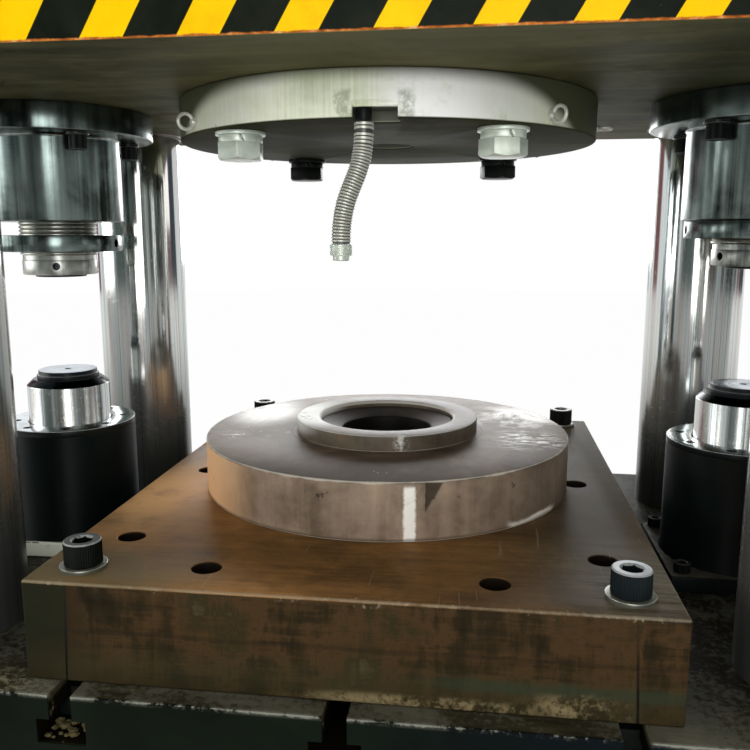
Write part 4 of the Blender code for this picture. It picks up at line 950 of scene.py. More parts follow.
@dataclass(frozen=True)
class PlainMetal(Finish):
    """Small metal parts: plated, oxidised or bronze, with dirt and worn edges."""

    colour: int = 0xAAB0A8
    dirt: int = 0x484636
    wear: int = 0xD2D0C6
    rough: float = 0.34
    metal: float = 0.8
    grime: float = 0.4
    edge_wear: float = 0.6
    shine: float = 0.5
    # the mesh's gap attribute darkens the gaps as painted shade
    shaded_gaps: bool = False

    def build(self, sheet: Sheet) -> bpy.types.Material:
        """Plating with a cloudy tone, grime in patches, brighter edges and painted shade in gaps where the mesh marks
        them.

        Args:
            sheet: the material's open node sheet.

        Returns:
            The material.
        """
        place = sheet.place()
        cloud, fine = sheet.noise(place, 24.0, 5.0, 0.6, 0.4), sheet.noise(place, 260.0, 3.0, 0.7)
        tone = sheet.coats(sheet.uneven(cloud.rise(0.25, 0.75), self.colour, 0.75, 1.2),
                           (cloud.rise(0.48, 0.7) * self.grime, self.dirt),
                           (sheet.edge() * self.edge_wear, self.wear))
        # painted shade in the gaps between ribs
        if self.shaded_gaps:
            deep = sheet.make("ShaderNodeAttribute", {"attribute_name": "gap"}, out="Fac")
            tone = sheet.blend(deep * 0.9, tone, 0x22241C)
        return sheet.finish(
            base_color=tone,
            roughness=cloud * 0.2 + fine * 0.12 + self.rough - 0.12,
            metallic=self.metal,
            specular_ior_level=self.shine,
            normal=sheet.bump(fine + cloud * 0.5, 0.18, 0.0005))


@dataclass(frozen=True)
class FacedMetal(Finish):
    """Small metal parts whose level faces carry a painted highlight and whose sides are dark."""

    face: int = 0xD6DAD8
    side: int = 0x141A18
    wear: int = 0xE8EAE6
    # above: height over which level faces get the painted highlight
    above: float = -10.0
    metal: float = 0.9
    rough: float = 0.2
    edge_wear: float = 0.5
    shine: float = 0.2

    def build(self, sheet: Sheet) -> bpy.types.Material:
        """Level faces above a height painted bright as a highlight, dark sides and a worn edge between them.

        Args:
            sheet: the material's open node sheet.

        Returns:
            The material.
        """
        place = sheet.place()
        up = sheet.axes(place)[2] - self.above
        cloud, fine = sheet.noise(place, 18.0, 5.0, 0.6, 0.4), sheet.noise(place, 240.0, 3.0, 0.7)
        # painted highlight on the level faces
        upper = sheet.level() * up.rise(-0.0004, 0.0)
        rim = sheet.edge() * up.rise(-0.002, -0.001) * (cloud * 0.5 + fine * 0.5).rise(0.34, 0.5)
        return sheet.finish(
            base_color=sheet.coats(sheet.uneven(cloud.rise(0.3, 0.7), self.side, 0.7, 1.3),
                                   (upper, sheet.uneven(cloud.rise(0.42, 0.72), self.face, 1.0, 0.62)),
                                   (rim * self.edge_wear, self.wear)),
            roughness=cloud * 0.16 + fine * 0.08 + self.rough - 0.1 + (1.0 - upper) * 0.16,
            metallic=upper * self.metal,
            specular_ior_level=self.shine,
            normal=sheet.bump(fine + cloud * 0.4, 0.12, 0.0004))


class Studio:
    """Camera, lamps, floor and surroundings."""

    eye: Point = (0.1492, -1.2687, 1.2794)
    pitch: float = 9.955
    yaw: float = 7.581
    lens: float = 38.37
    lamps: tuple[tuple[str, Point, Point, float, float, float], ...] = (
        ("front_lamp", (0.3, -3.6, 1.6), (0.0, 0.0, 1.2), 2.4, 1.6, 66.0),
        ("left_lamp", (-3.2, -0.6, 1.7), (0.0, 0.0, 1.1), 1.8, 1.4, 42.0),
        ("right_lamp", (3.2, 0.8, 2.0), (0.0, 0.0, 1.1), 1.6, 1.4, 10.0),
        ("rear_lamp", (-0.5, 3.6, 1.9), (0.0, 0.0, 1.0), 2.6, 1.6, 80.0),
        ("top_lamp", (0.0, 0.0, 5.4), (0.0, 0.0, 0.0), 3.0, 3.0, 60.0))
    # what mirrors see round the press: direction, half width and blur in degrees, colour
    room: tuple[tuple[float, float, float, int], ...] = (
        (-119.5, 22.0, 4.0, 0x3E5250), (-65.0, 17.0, 3.0, 0x3E3A32), (-21.5, 26.5, 4.0, 0x142426),
        (13.5, 8.5, 3.0, 0x765856), (31.0, 9.0, 3.0, 0x243040), (145.0, 9.0, 3.0, 0x804A50),
        (-165.0, 5.0, 2.0, 0x3A4E4E), (106.0, 4.0, 2.0, 0x969EA0))

    def build(self) -> None:
        """Make the studio."""
        bpy.context.scene.view_settings.view_transform = "Standard"
        self.place_camera()
        self.lay_floor()
        self.hang_lamps()
        self.paint_world()

    @staticmethod
    def hang(name: str, data: bpy.types.ID, place: Point, turn: Sequence[float]) -> Piece:
        """Put a camera or a lamp in its place.

        Args:
            name: the object's name.
            data: the camera or lamp.
            place: where it stands.
            turn: its rotation as Euler angles.

        Returns:
            The object.
        """
        thing = bpy.data.objects.new(name, data)
        thing.location = place
        thing.rotation_euler = turn
        bpy.context.scene.collection.objects.link(thing)
        return thing

    def place_camera(self) -> None:
        """Put the camera where the photograph was taken from."""
        data = bpy.data.cameras.new("camera")
        data.lens, data.sensor_width = self.lens, 36.0
        data.clip_start, data.clip_end = 0.02, 100.0
        turn = (math.radians(90.0 - self.pitch), 0.0, math.radians(self.yaw))
        bpy.context.scene.camera = self.hang("camera", data, self.eye, turn)

    def hang_lamps(self) -> None:
        """Hang wide soft lamps round the press."""
        for name, place, target, width, height, power in self.lamps:
            data = bpy.data.lights.new(name, "AREA")
            data.shape = "RECTANGLE"
            data.size, data.size_y, data.energy = width, height, power
            self.hang(name, data, place, (Vector(target) - Vector(place)).to_track_quat("-Z", "Y").to_euler())

    @staticmethod
    def rays(sheet: Sheet) -> tuple[Value, Value]:
        """Return 1 for rays from the camera, and 1 for rays from mirrors and glass.

        Args:
            sheet: the material's open node sheet.

        Returns:
            The two values.
        """
        node = sheet.make("ShaderNodeLightPath").socket.node
        camera, glossy, glass = (Value(sheet, node.outputs[f"Is {kind} Ray"])
                                 for kind in ("Camera", "Glossy", "Transmission"))
        return camera, glossy.top(glass)

    def lay_floor(self) -> None:
        """Lay a wide pale floor that shows white but keeps the press's shadow."""
        Bench.deselect()
        bpy.ops.mesh.primitive_circle_add(vertices=64, radius=18.0, fill_type="NGON", location=(0, 0, -0.0005))
        floor = bpy.context.object
        floor.name = "floor"
        sheet = Sheet("pale_floor")
        camera, mirror = self.rays(sheet)
        sheet.finish(base_color=(0.82, 0.81, 0.79), roughness=0.75, specular_ior_level=0.2)
        glow = sheet.make("ShaderNodeEmission", None, [(1.0, 1.0, 1.0), 1.0])
        lit = (sheet.axes()[1].rise(-1.6, 0.4) * 0.78 + 0.20).top(camera * 0.93)
        mixed = sheet.make("ShaderNodeMixShader", None,
                           [camera.top(mirror) * lit, Value(sheet, sheet.shader.outputs[0]), glow])
        sheet.feed(sheet.tree.nodes["Material Output"].inputs[0], mixed)
        floor.data.materials.append(sheet.material)

    def paint_world(self) -> None:
        """White behind the press, with a dimmer room in front of it for mirrors, and soft light for the rest."""
        world = bpy.data.worlds.new("studio")
        bpy.context.scene.world = world
        sheet = Sheet("studio", world)
        camera, glossy = self.rays(sheet)
        x, y, z = sheet.axes(sheet.make("ShaderNodeTexCoord", out="Generated"))
        flat = sheet.length(x, y).top(0.001)
        east, north = x / flat, y / flat
        ways = sheet.join(east * 3.4, north * 3.4, z * 0.20)
        wander = (sheet.noise(ways, 1.7, 2.0, 0.5) - 0.5) * 0.05
        parts = []
        for turn, half, blur, colour in self.room:
            angle = math.radians(turn)
            close = east * math.cos(angle) + north * math.sin(angle) + wander
            ends = (math.cos(math.radians(half + blur)), math.cos(math.radians(half - blur)))
            parts.append((close.rise(*ends) * 0.94, colour))
        bands = sheet.noise(ways, 1.0, 3.0, 0.6).rise(0.56, 0.62) * north.rise(0.15, -0.15)
        mirror = sheet.coats((0.96, 0.98, 1.0), *parts, (bands * 0.4, 0xD6DCDA), (z.rise(-0.06, -0.30), 0x78746A))
        tone = sheet.coats((0.40, 0.41, 0.42), (glossy, mirror))
        ground = sheet.tree.nodes["Background"]
        sheet.feed(ground.inputs[0], sheet.blend(camera, tone, (1.0, 1.0, 1.0)))
        sheet.feed(ground.inputs[1], 1.0)


def shift(x: float = 0.0, y: float = 0.0, z: float = 0.0) -> Matrix:
    """Return a move."""
    return Matrix.Translation((x, y, z))


def spun(degrees: float, axis: str = "Z") -> Matrix:
    """Return a turn about an axis."""
    return Matrix.Rotation(math.radians(degrees), 4, axis)


def rod(radius: float, high: float, low: float) -> Profile:
    """Return the profile of a plain rod."""
    return [(0, high), (radius, high), (radius, low), (0, low)]


def tube(radius: float, bore: float, high: float, low: float) -> Profile:
    """Return the profile of a plain ring."""
    return [(radius, high), (radius, low), (bore, low), (bore, high)]


class Bench:
    """Hand tools: how blanks are made, cut and finished."""

    @staticmethod
    def deselect() -> None:
        """Deselect everything and leave edit mode."""
        if bpy.context.object and bpy.context.object.mode != "OBJECT":
            bpy.ops.object.mode_set(mode="OBJECT")
        bpy.ops.object.select_all(action="DESELECT")

    @classmethod
    def pick(cls, piece: Piece) -> None:
        """Select one piece and make it active.

        Args:
            piece: the piece.
        """
        cls.deselect()
        piece.select_set(True)
        bpy.context.view_layer.objects.active = piece

    @staticmethod
    @contextmanager
    def editing() -> Iterator[None]:
        """Open the active piece's mesh with all of it selected, and close it afterwards.

        Yields:
            Nothing; the mesh is open while the block runs.
        """
        bpy.ops.object.mode_set(mode="EDIT")
        bpy.ops.mesh.select_all(action="SELECT")
        yield
        bpy.ops.object.mode_set(mode="OBJECT")

    @classmethod
    def modify(cls, piece: Piece, kind: str, **settings: object) -> None:
        """Put a modifier with its settings on a piece and apply it.

        Args:
            piece: the piece.
            kind: the modifier's type.
            settings: values for its properties.
        """
        cls.pick(piece)
        modifier = piece.modifiers.new(kind.lower(), kind)
        for key, setting in settings.items():
            setattr(modifier, key, setting)
        bpy.ops.object.modifier_apply(modifier=modifier.name)

    @staticmethod
    def label(piece: Piece, name: str) -> Piece:
        """Name a piece and its mesh.

        Args:
            piece: the piece.
            name: the new name.

        Returns:
            The piece.
        """
        piece.name = name
        piece.data.name = name
        return piece

    @classmethod
    def turn(cls, name: str, profile: Profile, centre: Sequence[float] = (0.0, 0.0), sides: int = 96,
             ring: bool = False, bevel: float = 0.0, segments: int = 2) -> Piece:
        """Turn a piece about an upright axis by extruding and scaling a circle.

        Args:
            name: the piece's name.
            profile: its (radius, height) points, outer side from top to bottom.
            centre: X and Y of the axis.
            sides: how many faces go round.
            ring: joins the last point to the first, for a piece with a bore.
            bevel: radius of its edges.
            segments: segments of that radius.

        Returns:
            The piece.
        """
        cls.deselect()
        x, y = centre[0], centre[1]
        start_cap = not ring and profile[0][0] == 0
        end_cap = not ring and profile[-1][0] == 0
        points = list(profile)[start_cap:len(profile) - end_cap]
        bpy.ops.mesh.primitive_circle_add(vertices=sides, radius=points[0][0], location=(0, 0, 0),
                                          fill_type="NOTHING")
        piece = cls.label(bpy.context.object, name)
        with cls.editing():
            bpy.ops.transform.translate(value=(x, y, points[0][1]))
            if start_cap:
                bpy.ops.mesh.edge_face_add()
            for (radius, height), (next_radius, next_height) in zip(points, points[1:]):
                bpy.ops.mesh.extrude_edges_move(TRANSFORM_OT_translate={"value": (0, 0, next_height - height)})
                scale = next_radius / radius
                if abs(scale - 1) > 1e-9:
                    bpy.ops.transform.resize(value=(scale, scale, 1), center_override=(x, y, next_height))
            if end_cap:
                bpy.ops.mesh.edge_face_add()
        if ring:
            cls.close_ring(piece, sides)
        with cls.editing():
            bpy.ops.mesh.normals_make_consistent(inside=False)
        return cls.soften(piece, bevel, segments)

    @classmethod
    def stack(cls, name: str, ridge: Profile, pitch: float, count: int, sides: int = 64) -> Piece:
        """Stack one turned ridge downwards into a threaded bar with closed ends.

        Args:
            name: the piece's name.
            ridge: the (radius, height) points of one ridge, from zero down to minus the pitch.
            pitch: distance from ridge to ridge.
            count: how many ridges there are.
            sides: how many faces go round.

        Returns:
            The bar, its top at height zero.
        """
        piece = cls.turn(name, ridge, sides=sides)
        cls.modify(piece, "ARRAY", count=count, use_relative_offset=False, use_constant_offset=True,
                   constant_offset_displace=(0.0, 0.0, -pitch), use_merge_vertices=True, merge_threshold=0.00001)
        with cls.editing():
            bpy.ops.mesh.fill_holes(sides=0)
            bpy.ops.mesh.select_all(action="SELECT")
            bpy.ops.mesh.normals_make_consistent(inside=False)
        return piece

    @classmethod
    def close_ring(cls, piece: Piece, sides: int) -> None:
        """Bridge a turned piece's last loop to its first.

        Args:
            piece: the piece.
            sides: how many sides it was turned with.
        """
        mesh = piece.data
        count = len(mesh.vertices)
        for parts in (mesh.edges, mesh.polygons, mesh.vertices):
            for part in parts:
                part.select = False
        for edge in mesh.edges:
            if max(edge.vertices) < sides or min(edge.vertices) >= count - sides:
                edge.select = True
                for vertex in edge.vertices:
                    mesh.vertices[vertex].select = True
        bpy.ops.object.mode_set(mode="EDIT")
        bpy.context.tool_settings.mesh_select_mode = (False, True, False)
        bpy.ops.mesh.bridge_edge_loops()
        bpy.context.tool_settings.mesh_select_mode = (True, False, False)
        bpy.ops.object.mode_set(mode="OBJECT")

    @classmethod
    def soften(cls, piece: Piece, bevel: float = 0.0, segments: int = 2, angle: float = 35.0) -> Piece:
        """Round a piece's edges and shade it.

        Args:
            piece: the piece.
            bevel: radius of the edges, or zero to leave them sharp.
            segments: segments of the radius.
            angle: edges sharper than this are rounded, in degrees.

        Returns:
            The same piece.
        """
        if bevel:
            cls.modify(piece, "BEVEL", width=bevel, segments=segments, limit_method="ANGLE",
                       angle_limit=math.radians(angle), use_clamp_overlap=True)
        cls.pick(piece)
        bpy.ops.object.shade_smooth_by_angle(angle=math.radians(SMOOTH))
        return piece

    @classmethod
    def block(cls, name: str, low: Sequence[float], high: Sequence[float], bevel: float = 0.0,
              segments: int = 2) -> Piece:
        """Make a block between two corners.

        Args:
            name: the piece's name.
            low: its lowest corner.
            high: its highest corner.
            bevel: radius of its edges.
            segments: segments of that radius.

        Returns:
            The piece.
        """
        cls.deselect()
        bpy.ops.mesh.primitive_cube_add(size=1.0, location=(0, 0, 0))
        piece = cls.label(bpy.context.object, name)
        with cls.editing():
            bpy.ops.transform.resize(value=tuple(h - l for l, h in zip(low, high)), center_override=(0, 0, 0))
            bpy.ops.transform.translate(value=tuple((h + l) / 2 for l, h in zip(low, high)))
        return cls.soften(piece, bevel, segments)

    @classmethod
    def hexagon(cls, name: str, flats: float, depth: float, middle: float) -> Piece:
        """Make a hexagonal bar on the upright axis.

        Args:
            name: the piece's name.
            flats: width across flats.
            depth: its length.
            middle: height of its middle.

        Returns:
            The bar.
        """
        cls.deselect()
        bpy.ops.mesh.primitive_cylinder_add(vertices=6, radius=flats / 2 / HEX, depth=depth,
                                            location=(0, 0, middle))
        bpy.context.object.name = name
        bpy.ops.object.transform_apply(location=True, rotation=True, scale=True)
        return bpy.context.object

    @classmethod
    def lay(cls, piece: Piece, turn: Matrix) -> Piece:
        """Move or turn a piece's mesh, with its object left at the origin.

        Args:
            piece: the piece.
            turn: the move, as a matrix.

        Returns:
            The piece.
        """
        piece.data.transform(turn)
        piece.data.update()
        return piece

    @classmethod
    def cut(cls, piece: Piece, tools: Iterable[Piece], operation: str = "DIFFERENCE") -> None:
        """Cut tools out of a piece one after another, and throw the tools away.

        Args:
            piece: the piece.
            tools: what is cut out of it, or meets it.
            operation: the Boolean's operation.
        """
        for tool in tools:
            cls.modify(piece, "BOOLEAN", operation=operation, solver="EXACT", object=tool)
            bpy.data.objects.remove(tool, do_unlink=True)

    @classmethod
    def join(cls, pieces: Sequence[Piece], name: str | None = None) -> Piece:
        """Join pieces into the first one and name it.

        Args:
            pieces: the pieces, of which the first stays.
            name: its new name, or None to keep the old one.

        Returns:
            The joined piece.
        """
        cls.deselect()
        for piece in pieces:
            piece.select_set(True)
        bpy.context.view_layer.objects.active = pieces[0]
        if len(pieces) > 1:
            bpy.ops.object.join()
        if name:
            pieces[0].name = name
        return pieces[0]

    @classmethod
    def copies(cls, piece: Piece, moves: Sequence[Matrix], name: str) -> list[Piece]:
        """Copy a piece, each copy with its own mesh, and throw the pattern away.

        Args:
            piece: the pattern.
            moves: where each copy goes.
            name: what the copies' names start with.

        Returns:
            The copies.
        """
        made = []
        for i, move in enumerate(moves):
            copy = piece.copy()
            copy.data = piece.data.copy()
            bpy.context.scene.collection.objects.link(copy)
            made.append(cls.lay(cls.label(copy, f"{name}_{i}"), move))
        bpy.data.objects.remove(piece, do_unlink=True)
        return made

    @classmethod
    def repeat(cls, piece: Piece, moves: Sequence[Matrix], name: str) -> Piece:
        """Copy a piece to several places as one joined piece."""
        return cls.label(cls.join(cls.copies(piece, moves, name)), name)

    @classmethod
    def hex_head(cls, name: str, flats: float, low: float, high: float, top_chamfer: bool = False) -> Piece:
        """Make a hexagon with its corners turned off at its free end.

        Args:
            name: the piece's name.
            flats: width across flats.
            low: lower height.
            high: upper height.
            top_chamfer: chamfers the upper end, else the lower one.

        Returns:
            The head, centred on the upright axis.
        """
        head = cls.hexagon(name, flats, high - low, (low + high) / 2)
        slope = math.tan(math.radians(32.0))
        inner = flats / 2 * 0.97
        drop = (flats / 2 / HEX - inner) * slope
        over = 0.004
        wide = inner + (drop + over) / slope
        if top_chamfer:
            profile = [(0, high), (inner, high), (wide, high - drop - over), (wide, low - over), (0, low - over)]
        else:
            profile = [(0, high + over), (wide, high + over), (wide, low + drop + over), (inner, low), (0, low)]
        cls.cut(head, [cls.turn(f"{name}_cone", profile, sides=72)], "INTERSECT")
        return cls.soften(head, 0.0006, 2, 25.0)

    @classmethod
    def socket_screw(cls, diameter: float, height: float, flats: float, low: float = 0.0) -> Piece:
        """Make the head of a socket screw on the upright axis, with a knurled side and a hex socket.

        Args:
            diameter: the head's diameter.
            height: the head's height.
            flats: the socket's width across flats.
            low: the head's lower height.

        Returns:
            The head.
        """
        radius, top = diameter / 2, low + height
        edge, sides = height * 0.055, 96
        head = cls.turn("head", [(0, top), (radius - edge, top), (radius, top - edge), (radius, low + edge),
                                 (radius - edge, low), (0, low)], sides=sides)
        for vertex in head.data.vertices:
            flat = vertex.co.xy
            turn = round(math.atan2(flat.y, flat.x) / math.tau * sides)
            if turn % 2 and flat.length > radius * 0.985:
                vertex.co.x *= 0.975
                vertex.co.y *= 0.975
        socket = cls.hexagon("socket", flats, height * 1.2, top)
        corner = flats / 2 / HEX
        mouth = cls.turn("mouth", [(0, top + 0.001), (corner * 1.08 + 0.001, top + 0.001),
                                   (corner * 0.9, top - corner * 0.2), (0, top - corner * 0.2)], sides=48)
        cls.cut(head, [socket, mouth])
        return cls.soften(head)


class Assembly:
    """A sub-assembly: it keeps its pieces' finishes, bodies and the CAD nodes that they stand for."""

    body: str = "frame"

    def keep(self, piece: Piece, finish: Finish, slot: str, *nodes: str, body: str | None = None) -> Piece:
        """Dress a piece, let it ride, and hide the CAD nodes that it stands for.

        Args:
            piece: the piece.
            finish: its finish.
            slot: not used.
            nodes: CAD nodes that it replaces.
            body: the body that it rides on, if not the assembly's own.

        Returns:
            The piece.
        """
        piece.data.materials.clear()
        piece.data.materials.append(finish.material())
        for face in piece.data.polygons:
            face.material_index = 0
        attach(piece, body or self.body)
        if nodes:
            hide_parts(*nodes)
        log.info("made %s", piece.name)
        return piece

    @staticmethod
    def dress(node: str, finish: Finish) -> None:
        """Give a modelled node its finish.

        Args:
            node: the node's name in the frame.
            finish: its finish.
        """
        for slot in bpy.data.objects[node].material_slots:
            slot.material = finish.material()
        log.info("dressed %s", node)

    @staticmethod
    def corners(node: str) -> Block:
        """Return a node's lower and upper corner."""
        low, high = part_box(node)
        return tuple(low), tuple(high)

    @staticmethod
    def spot(node: str) -> tuple[Vector, float, float, float]:
        """Return a node's centre, its lower and upper height, and half its width."""
        low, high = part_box(node)
        return (low + high) / 2, low.z, high.z, (high.x - low.x) / 2

    def ring_of(self, pattern: Piece, name: str, circle: float, count: int, centre: Sequence[float],
                start: float = 0.0) -> Piece:
        """Repeat a pattern round an upright axis.

        Args:
            pattern: what is repeated.
            name: the joined piece's name.
            circle: diameter of the circle.
            count: how many there are.
            centre: X and Y of the axis.
            start: angle of the first, in degrees.

        Returns:
            The joined piece.
        """
        moves = []
        for i in range(count):
            angle = math.radians(start) + math.tau * i / count
            x, y = (middle + circle / 2 * part for middle, part in zip(centre, (math.cos(angle), math.sin(angle))))
            moves.append(shift(x, y) @ Matrix.Rotation(angle * 1.7, 4, "Z"))
        return Bench.repeat(pattern, moves, name)

    def screws(self, name: str, size: Point, height: float, circle: tuple[float, int], centre: Sequence[float] = (0, 0),
               start: float = 0.0, down: bool = False, body: str | None = None) -> None:
        """Put a ring of socket screws in place.

        Args:
            name: the ring's name.
            size: the heads' diameter and height, and the sockets' width across flats.
            height: where the heads sit.
            circle: diameter of the ring, and how many screws it has.
            centre: X and Y of its axis.
            start: angle of the first, in degrees.
            down: the heads hang down.
            body: the body that they ride on, if not the assembly's own.
        """
        head = Bench.socket_screw(*size, low=0.0 if down else height)
        if down:
            Bench.lay(head, shift(z=height) @ spun(180.0, "X"))
        self.keep(self.ring_of(head, name, *circle, centre, start), OXIDE, "black_oxide", body=body)

    @staticmethod
    def drill(piece: Piece, centre: Vector, height: float, radius: float, size: Sequence[float],
              angles: Iterable[float]) -> None:
        """Drill blind holes with a small chamfer into a turned piece's side.

        Args:
            piece: the piece.
            centre: a point on its axis.
            height: the holes' height.
            radius: the piece's radius.
            size: the holes' radius at the mouth and below it, and their depth.
            angles: their directions, in degrees.
        """
        mouth, narrow, depth = size
        profile = [(0, 0.02), (mouth, 0.02), (narrow, -0.0008), (narrow, -depth), (0, -depth)]
        holes = [Bench.lay(Bench.turn("hole", profile, sides=40),
                           shift(centre.x, centre.y, height) @ (spun(angle) @ shift(radius) @ spun(90.0, "Y")))
                 for angle in angles]
        Bench.cut(piece, [Bench.join(holes)])


DARK_GREEN = MachinePaint("dark_green_paint_aged")
BLACK_GLOSS = MachinePaint("black_gloss_aged", colour=0x09100F, chip=0x4A463A, wear=0.8, gloss=0.40, shine=0.06)
HAZARD = HazardPaint("striped_slide_paint")
RUSTY = RustySteel("rusty_rolled_plate")
TABLE = TableSteel("oily_table_steel")
PLATEN_PAINT = PalePaint("brushed_platen_paint")
ZINC = PlainMetal("zinc_plate_worn", colour=0xCED8CA, dirt=0x60624E, rough=0.36, metal=0.35)
OXIDE = PlainMetal("black_oxide_oiled", colour=0x0F1411, dirt=0x242016, wear=0x70746C, rough=0.36, metal=0.1,
                   edge_wear=0.35, shine=0.10)
# washers: their edges are painted near white, worn edges with a painted highlight on them
WASHER = PlainMetal("washer_bright", colour=0x707264, dirt=0x3C382A, wear=0xFAFAF5, rough=0.3, metal=0.6,
                    edge_wear=1.0, shine=0.3)
DARK_WASHER = PlainMetal("washer_dark", colour=0x282C28, wear=0xDCDED8, rough=0.3, metal=0.5, edge_wear=0.8,
                         shine=0.2)
CRUMBS = PlainMetal("slot_dirt", colour=0x544C30, dirt=0x1E1B12, wear=0x60583C, rough=0.9, metal=0.0, shine=0.15)
STRIP = PlainMetal("galvanised_strip_dusty", colour=0xC4C6BA, dirt=0x706C56, rough=0.36, metal=0.45, grime=0.35,
                   shaded_gaps=True)
BRONZE = PlainMetal("bronze_oiled", colour=0x5C462A, dirt=0x282216, wear=0x6E5A3A, rough=0.36, metal=0.5,
                    grime=0.8, edge_wear=0.2, shine=0.15)
WEAR_STEEL = FacedMetal("wear_pad_steel", face=0xD6DCE2, side=0x0E1418, rough=0.24)


@dataclass
class Conduit(Assembly):
    """Flexible metal conduit that hangs out of the platen's notch."""

    body: str = "slide"
    exit: Point = (0.0067, -0.297, 1.4104)
    radius: float = 0.01175
    root: float = 0.0106
    rib_pitch: float = 0.0037
    bands: tuple[float, ...] = (0.0006, 0.0050, 0.0128, 0.0172, 0.0216)
    band_width: float = 0.0034
    band_edge: float = 0.0004
    length: float = 0.1462
    offsets: tuple[Point, ...] = (
        (0.0, 0.0, 0.0), (0.0, 0.0, -0.008), (-0.0002, 0.0, -0.017), (-0.0009, -0.0003, -0.027),
        (-0.0022, -0.001, -0.037), (-0.0042, -0.002, -0.0465), (-0.0068, -0.0032, -0.0555),
        (-0.0099, -0.0046, -0.064), (-0.0135, -0.006, -0.073), (-0.0174, -0.0073, -0.083),
        (-0.021, -0.0083, -0.094), (-0.0238, -0.009, -0.106), (-0.0256, -0.0094, -0.118),
        (-0.0265, -0.0096, -0.13), (-0.0267, -0.0096, -0.142))
    sleeve: tuple[float, float] = (0.0135, 0.014)
    nose: tuple[float, float] = (0.010, 0.006)

    def build(self) -> None:
        """Make the nipple, the ribbed conduit and its end connector."""
        route = [Vector(self.exit) + Vector(offset) for offset in self.offsets]
        conduit = Bench.turn("conduit_ribbed", self.profile(), sides=40)
        # the gap attribute marks the ribs' roots, which the finish darkens as painted shade
        gap = conduit.data.attributes.new("gap", "FLOAT", "POINT")
        for vertex, entry in zip(conduit.data.vertices, gap.data):
            entry.value = 1.0 if vertex.co.xy.length < self.root + 0.0002 else 0.0
        self.bend(conduit, route)
        self.keep(Bench.soften(conduit), STRIP, "galvanised_strip", "conduit")
        end = self.connector(route)
        _, low, high, radius = self.spot("conduit_nipple")
        nipple = Bench.turn("conduit_nipple_turned", rod(radius, high, low), self.exit[:2], 48, bevel=0.0008)
        self.keep(nipple, OXIDE, "zinc_plate", "conduit_nipple")
        2 * self.radius

    def profile(self) -> Profile:
        """Return the outline of bands and ribs, as depths below the exit.

        Returns:
            Pairs of radius and height.
        """
        points = [(0.0, 0.0), (self.root, 0.0)]
        for start in self.bands:
            points += [(self.root, -start), (self.radius, -start - self.band_edge),
                       (self.radius, -start - self.band_width + self.band_edge), (self.root, -start - self.band_width)]
        place = self.bands[-1] + self.band_width + self.rib_pitch / 4
        while place + self.rib_pitch < self.length:
            points += [(self.root, -place), (self.radius, -place - self.rib_pitch * 0.35),
                       (self.radius, -place - self.rib_pitch * 0.65)]
            place += self.rib_pitch
        return points + [(self.root, -place), (self.root, -self.length), (0.0, -self.length)]

    @staticmethod
    def bend(piece: Piece, route: Sequence[Vector]) -> None:
        """Bend an upright piece, whose depth is its length, along a route.

        Args:
            piece: the upright piece.
            route: the conduit's course from its exit.
        """
        reach = [0.0]
        for a, b in zip(route, route[1:]):
            reach.append(reach[-1] + (b - a).length)
        last = len(route) - 2
        for vertex in piece.data.vertices:
            depth = min(max(-vertex.co.z, 0.0), reach[-1])
            i = next((n for n in range(last + 1) if depth <= reach[n + 1] + 1e-9), last)
            t = (depth - reach[i]) / (reach[i + 1] - reach[i])
            before = (route[i + 1] - route[max(i - 1, 0)]).normalized()
            after = (route[min(i + 2, last + 1)] - route[i]).normalized()
            along = before.lerp(after, t).normalized()
            across = (Vector((1, 0, 0)) - along * along.x).normalized()
            vertex.co = (route[i].lerp(route[i + 1], t) + across * vertex.co.x
                         - along.cross(across) * vertex.co.y)
        piece.data.update()

    def connector(self, route: Sequence[Vector]) -> Piece:
        """Make the end connector, in line with the conduit's last stretch.

        Args:
            route: the conduit's course from its exit.

        Returns:
            The connector.
        """
        r, depth = self.sleeve
        nose, nose_depth = self.nose
        grip = [(0.0, -0.0004), (r - 0.001, -0.0004)]
        for i in range(5):
            step = -0.0014 - i * 0.0024
            grip += [(r, step), (r, step - 0.0012), (r - 0.0007, step - 0.0016), (r - 0.0007, step - 0.002)]
        grip += [(r - 0.0012, -depth), (nose, -depth), (nose, -depth - nose_depth + 0.001),
                 (nose - 0.001, -depth - nose_depth), (0.0, -depth - nose_depth)]
        piece = Bench.turn("conduit_end_connector", grip, sides=48)
        along = (route[-1] - route[-2]).normalized()
        turn = Vector((0, 0, -1)).rotation_difference(along).to_matrix().to_4x4()
        Bench.lay(piece, shift(*route[-1]) @ turn)
        return self.keep(piece, ZINC, "zinc_plate", "conduit_connector")


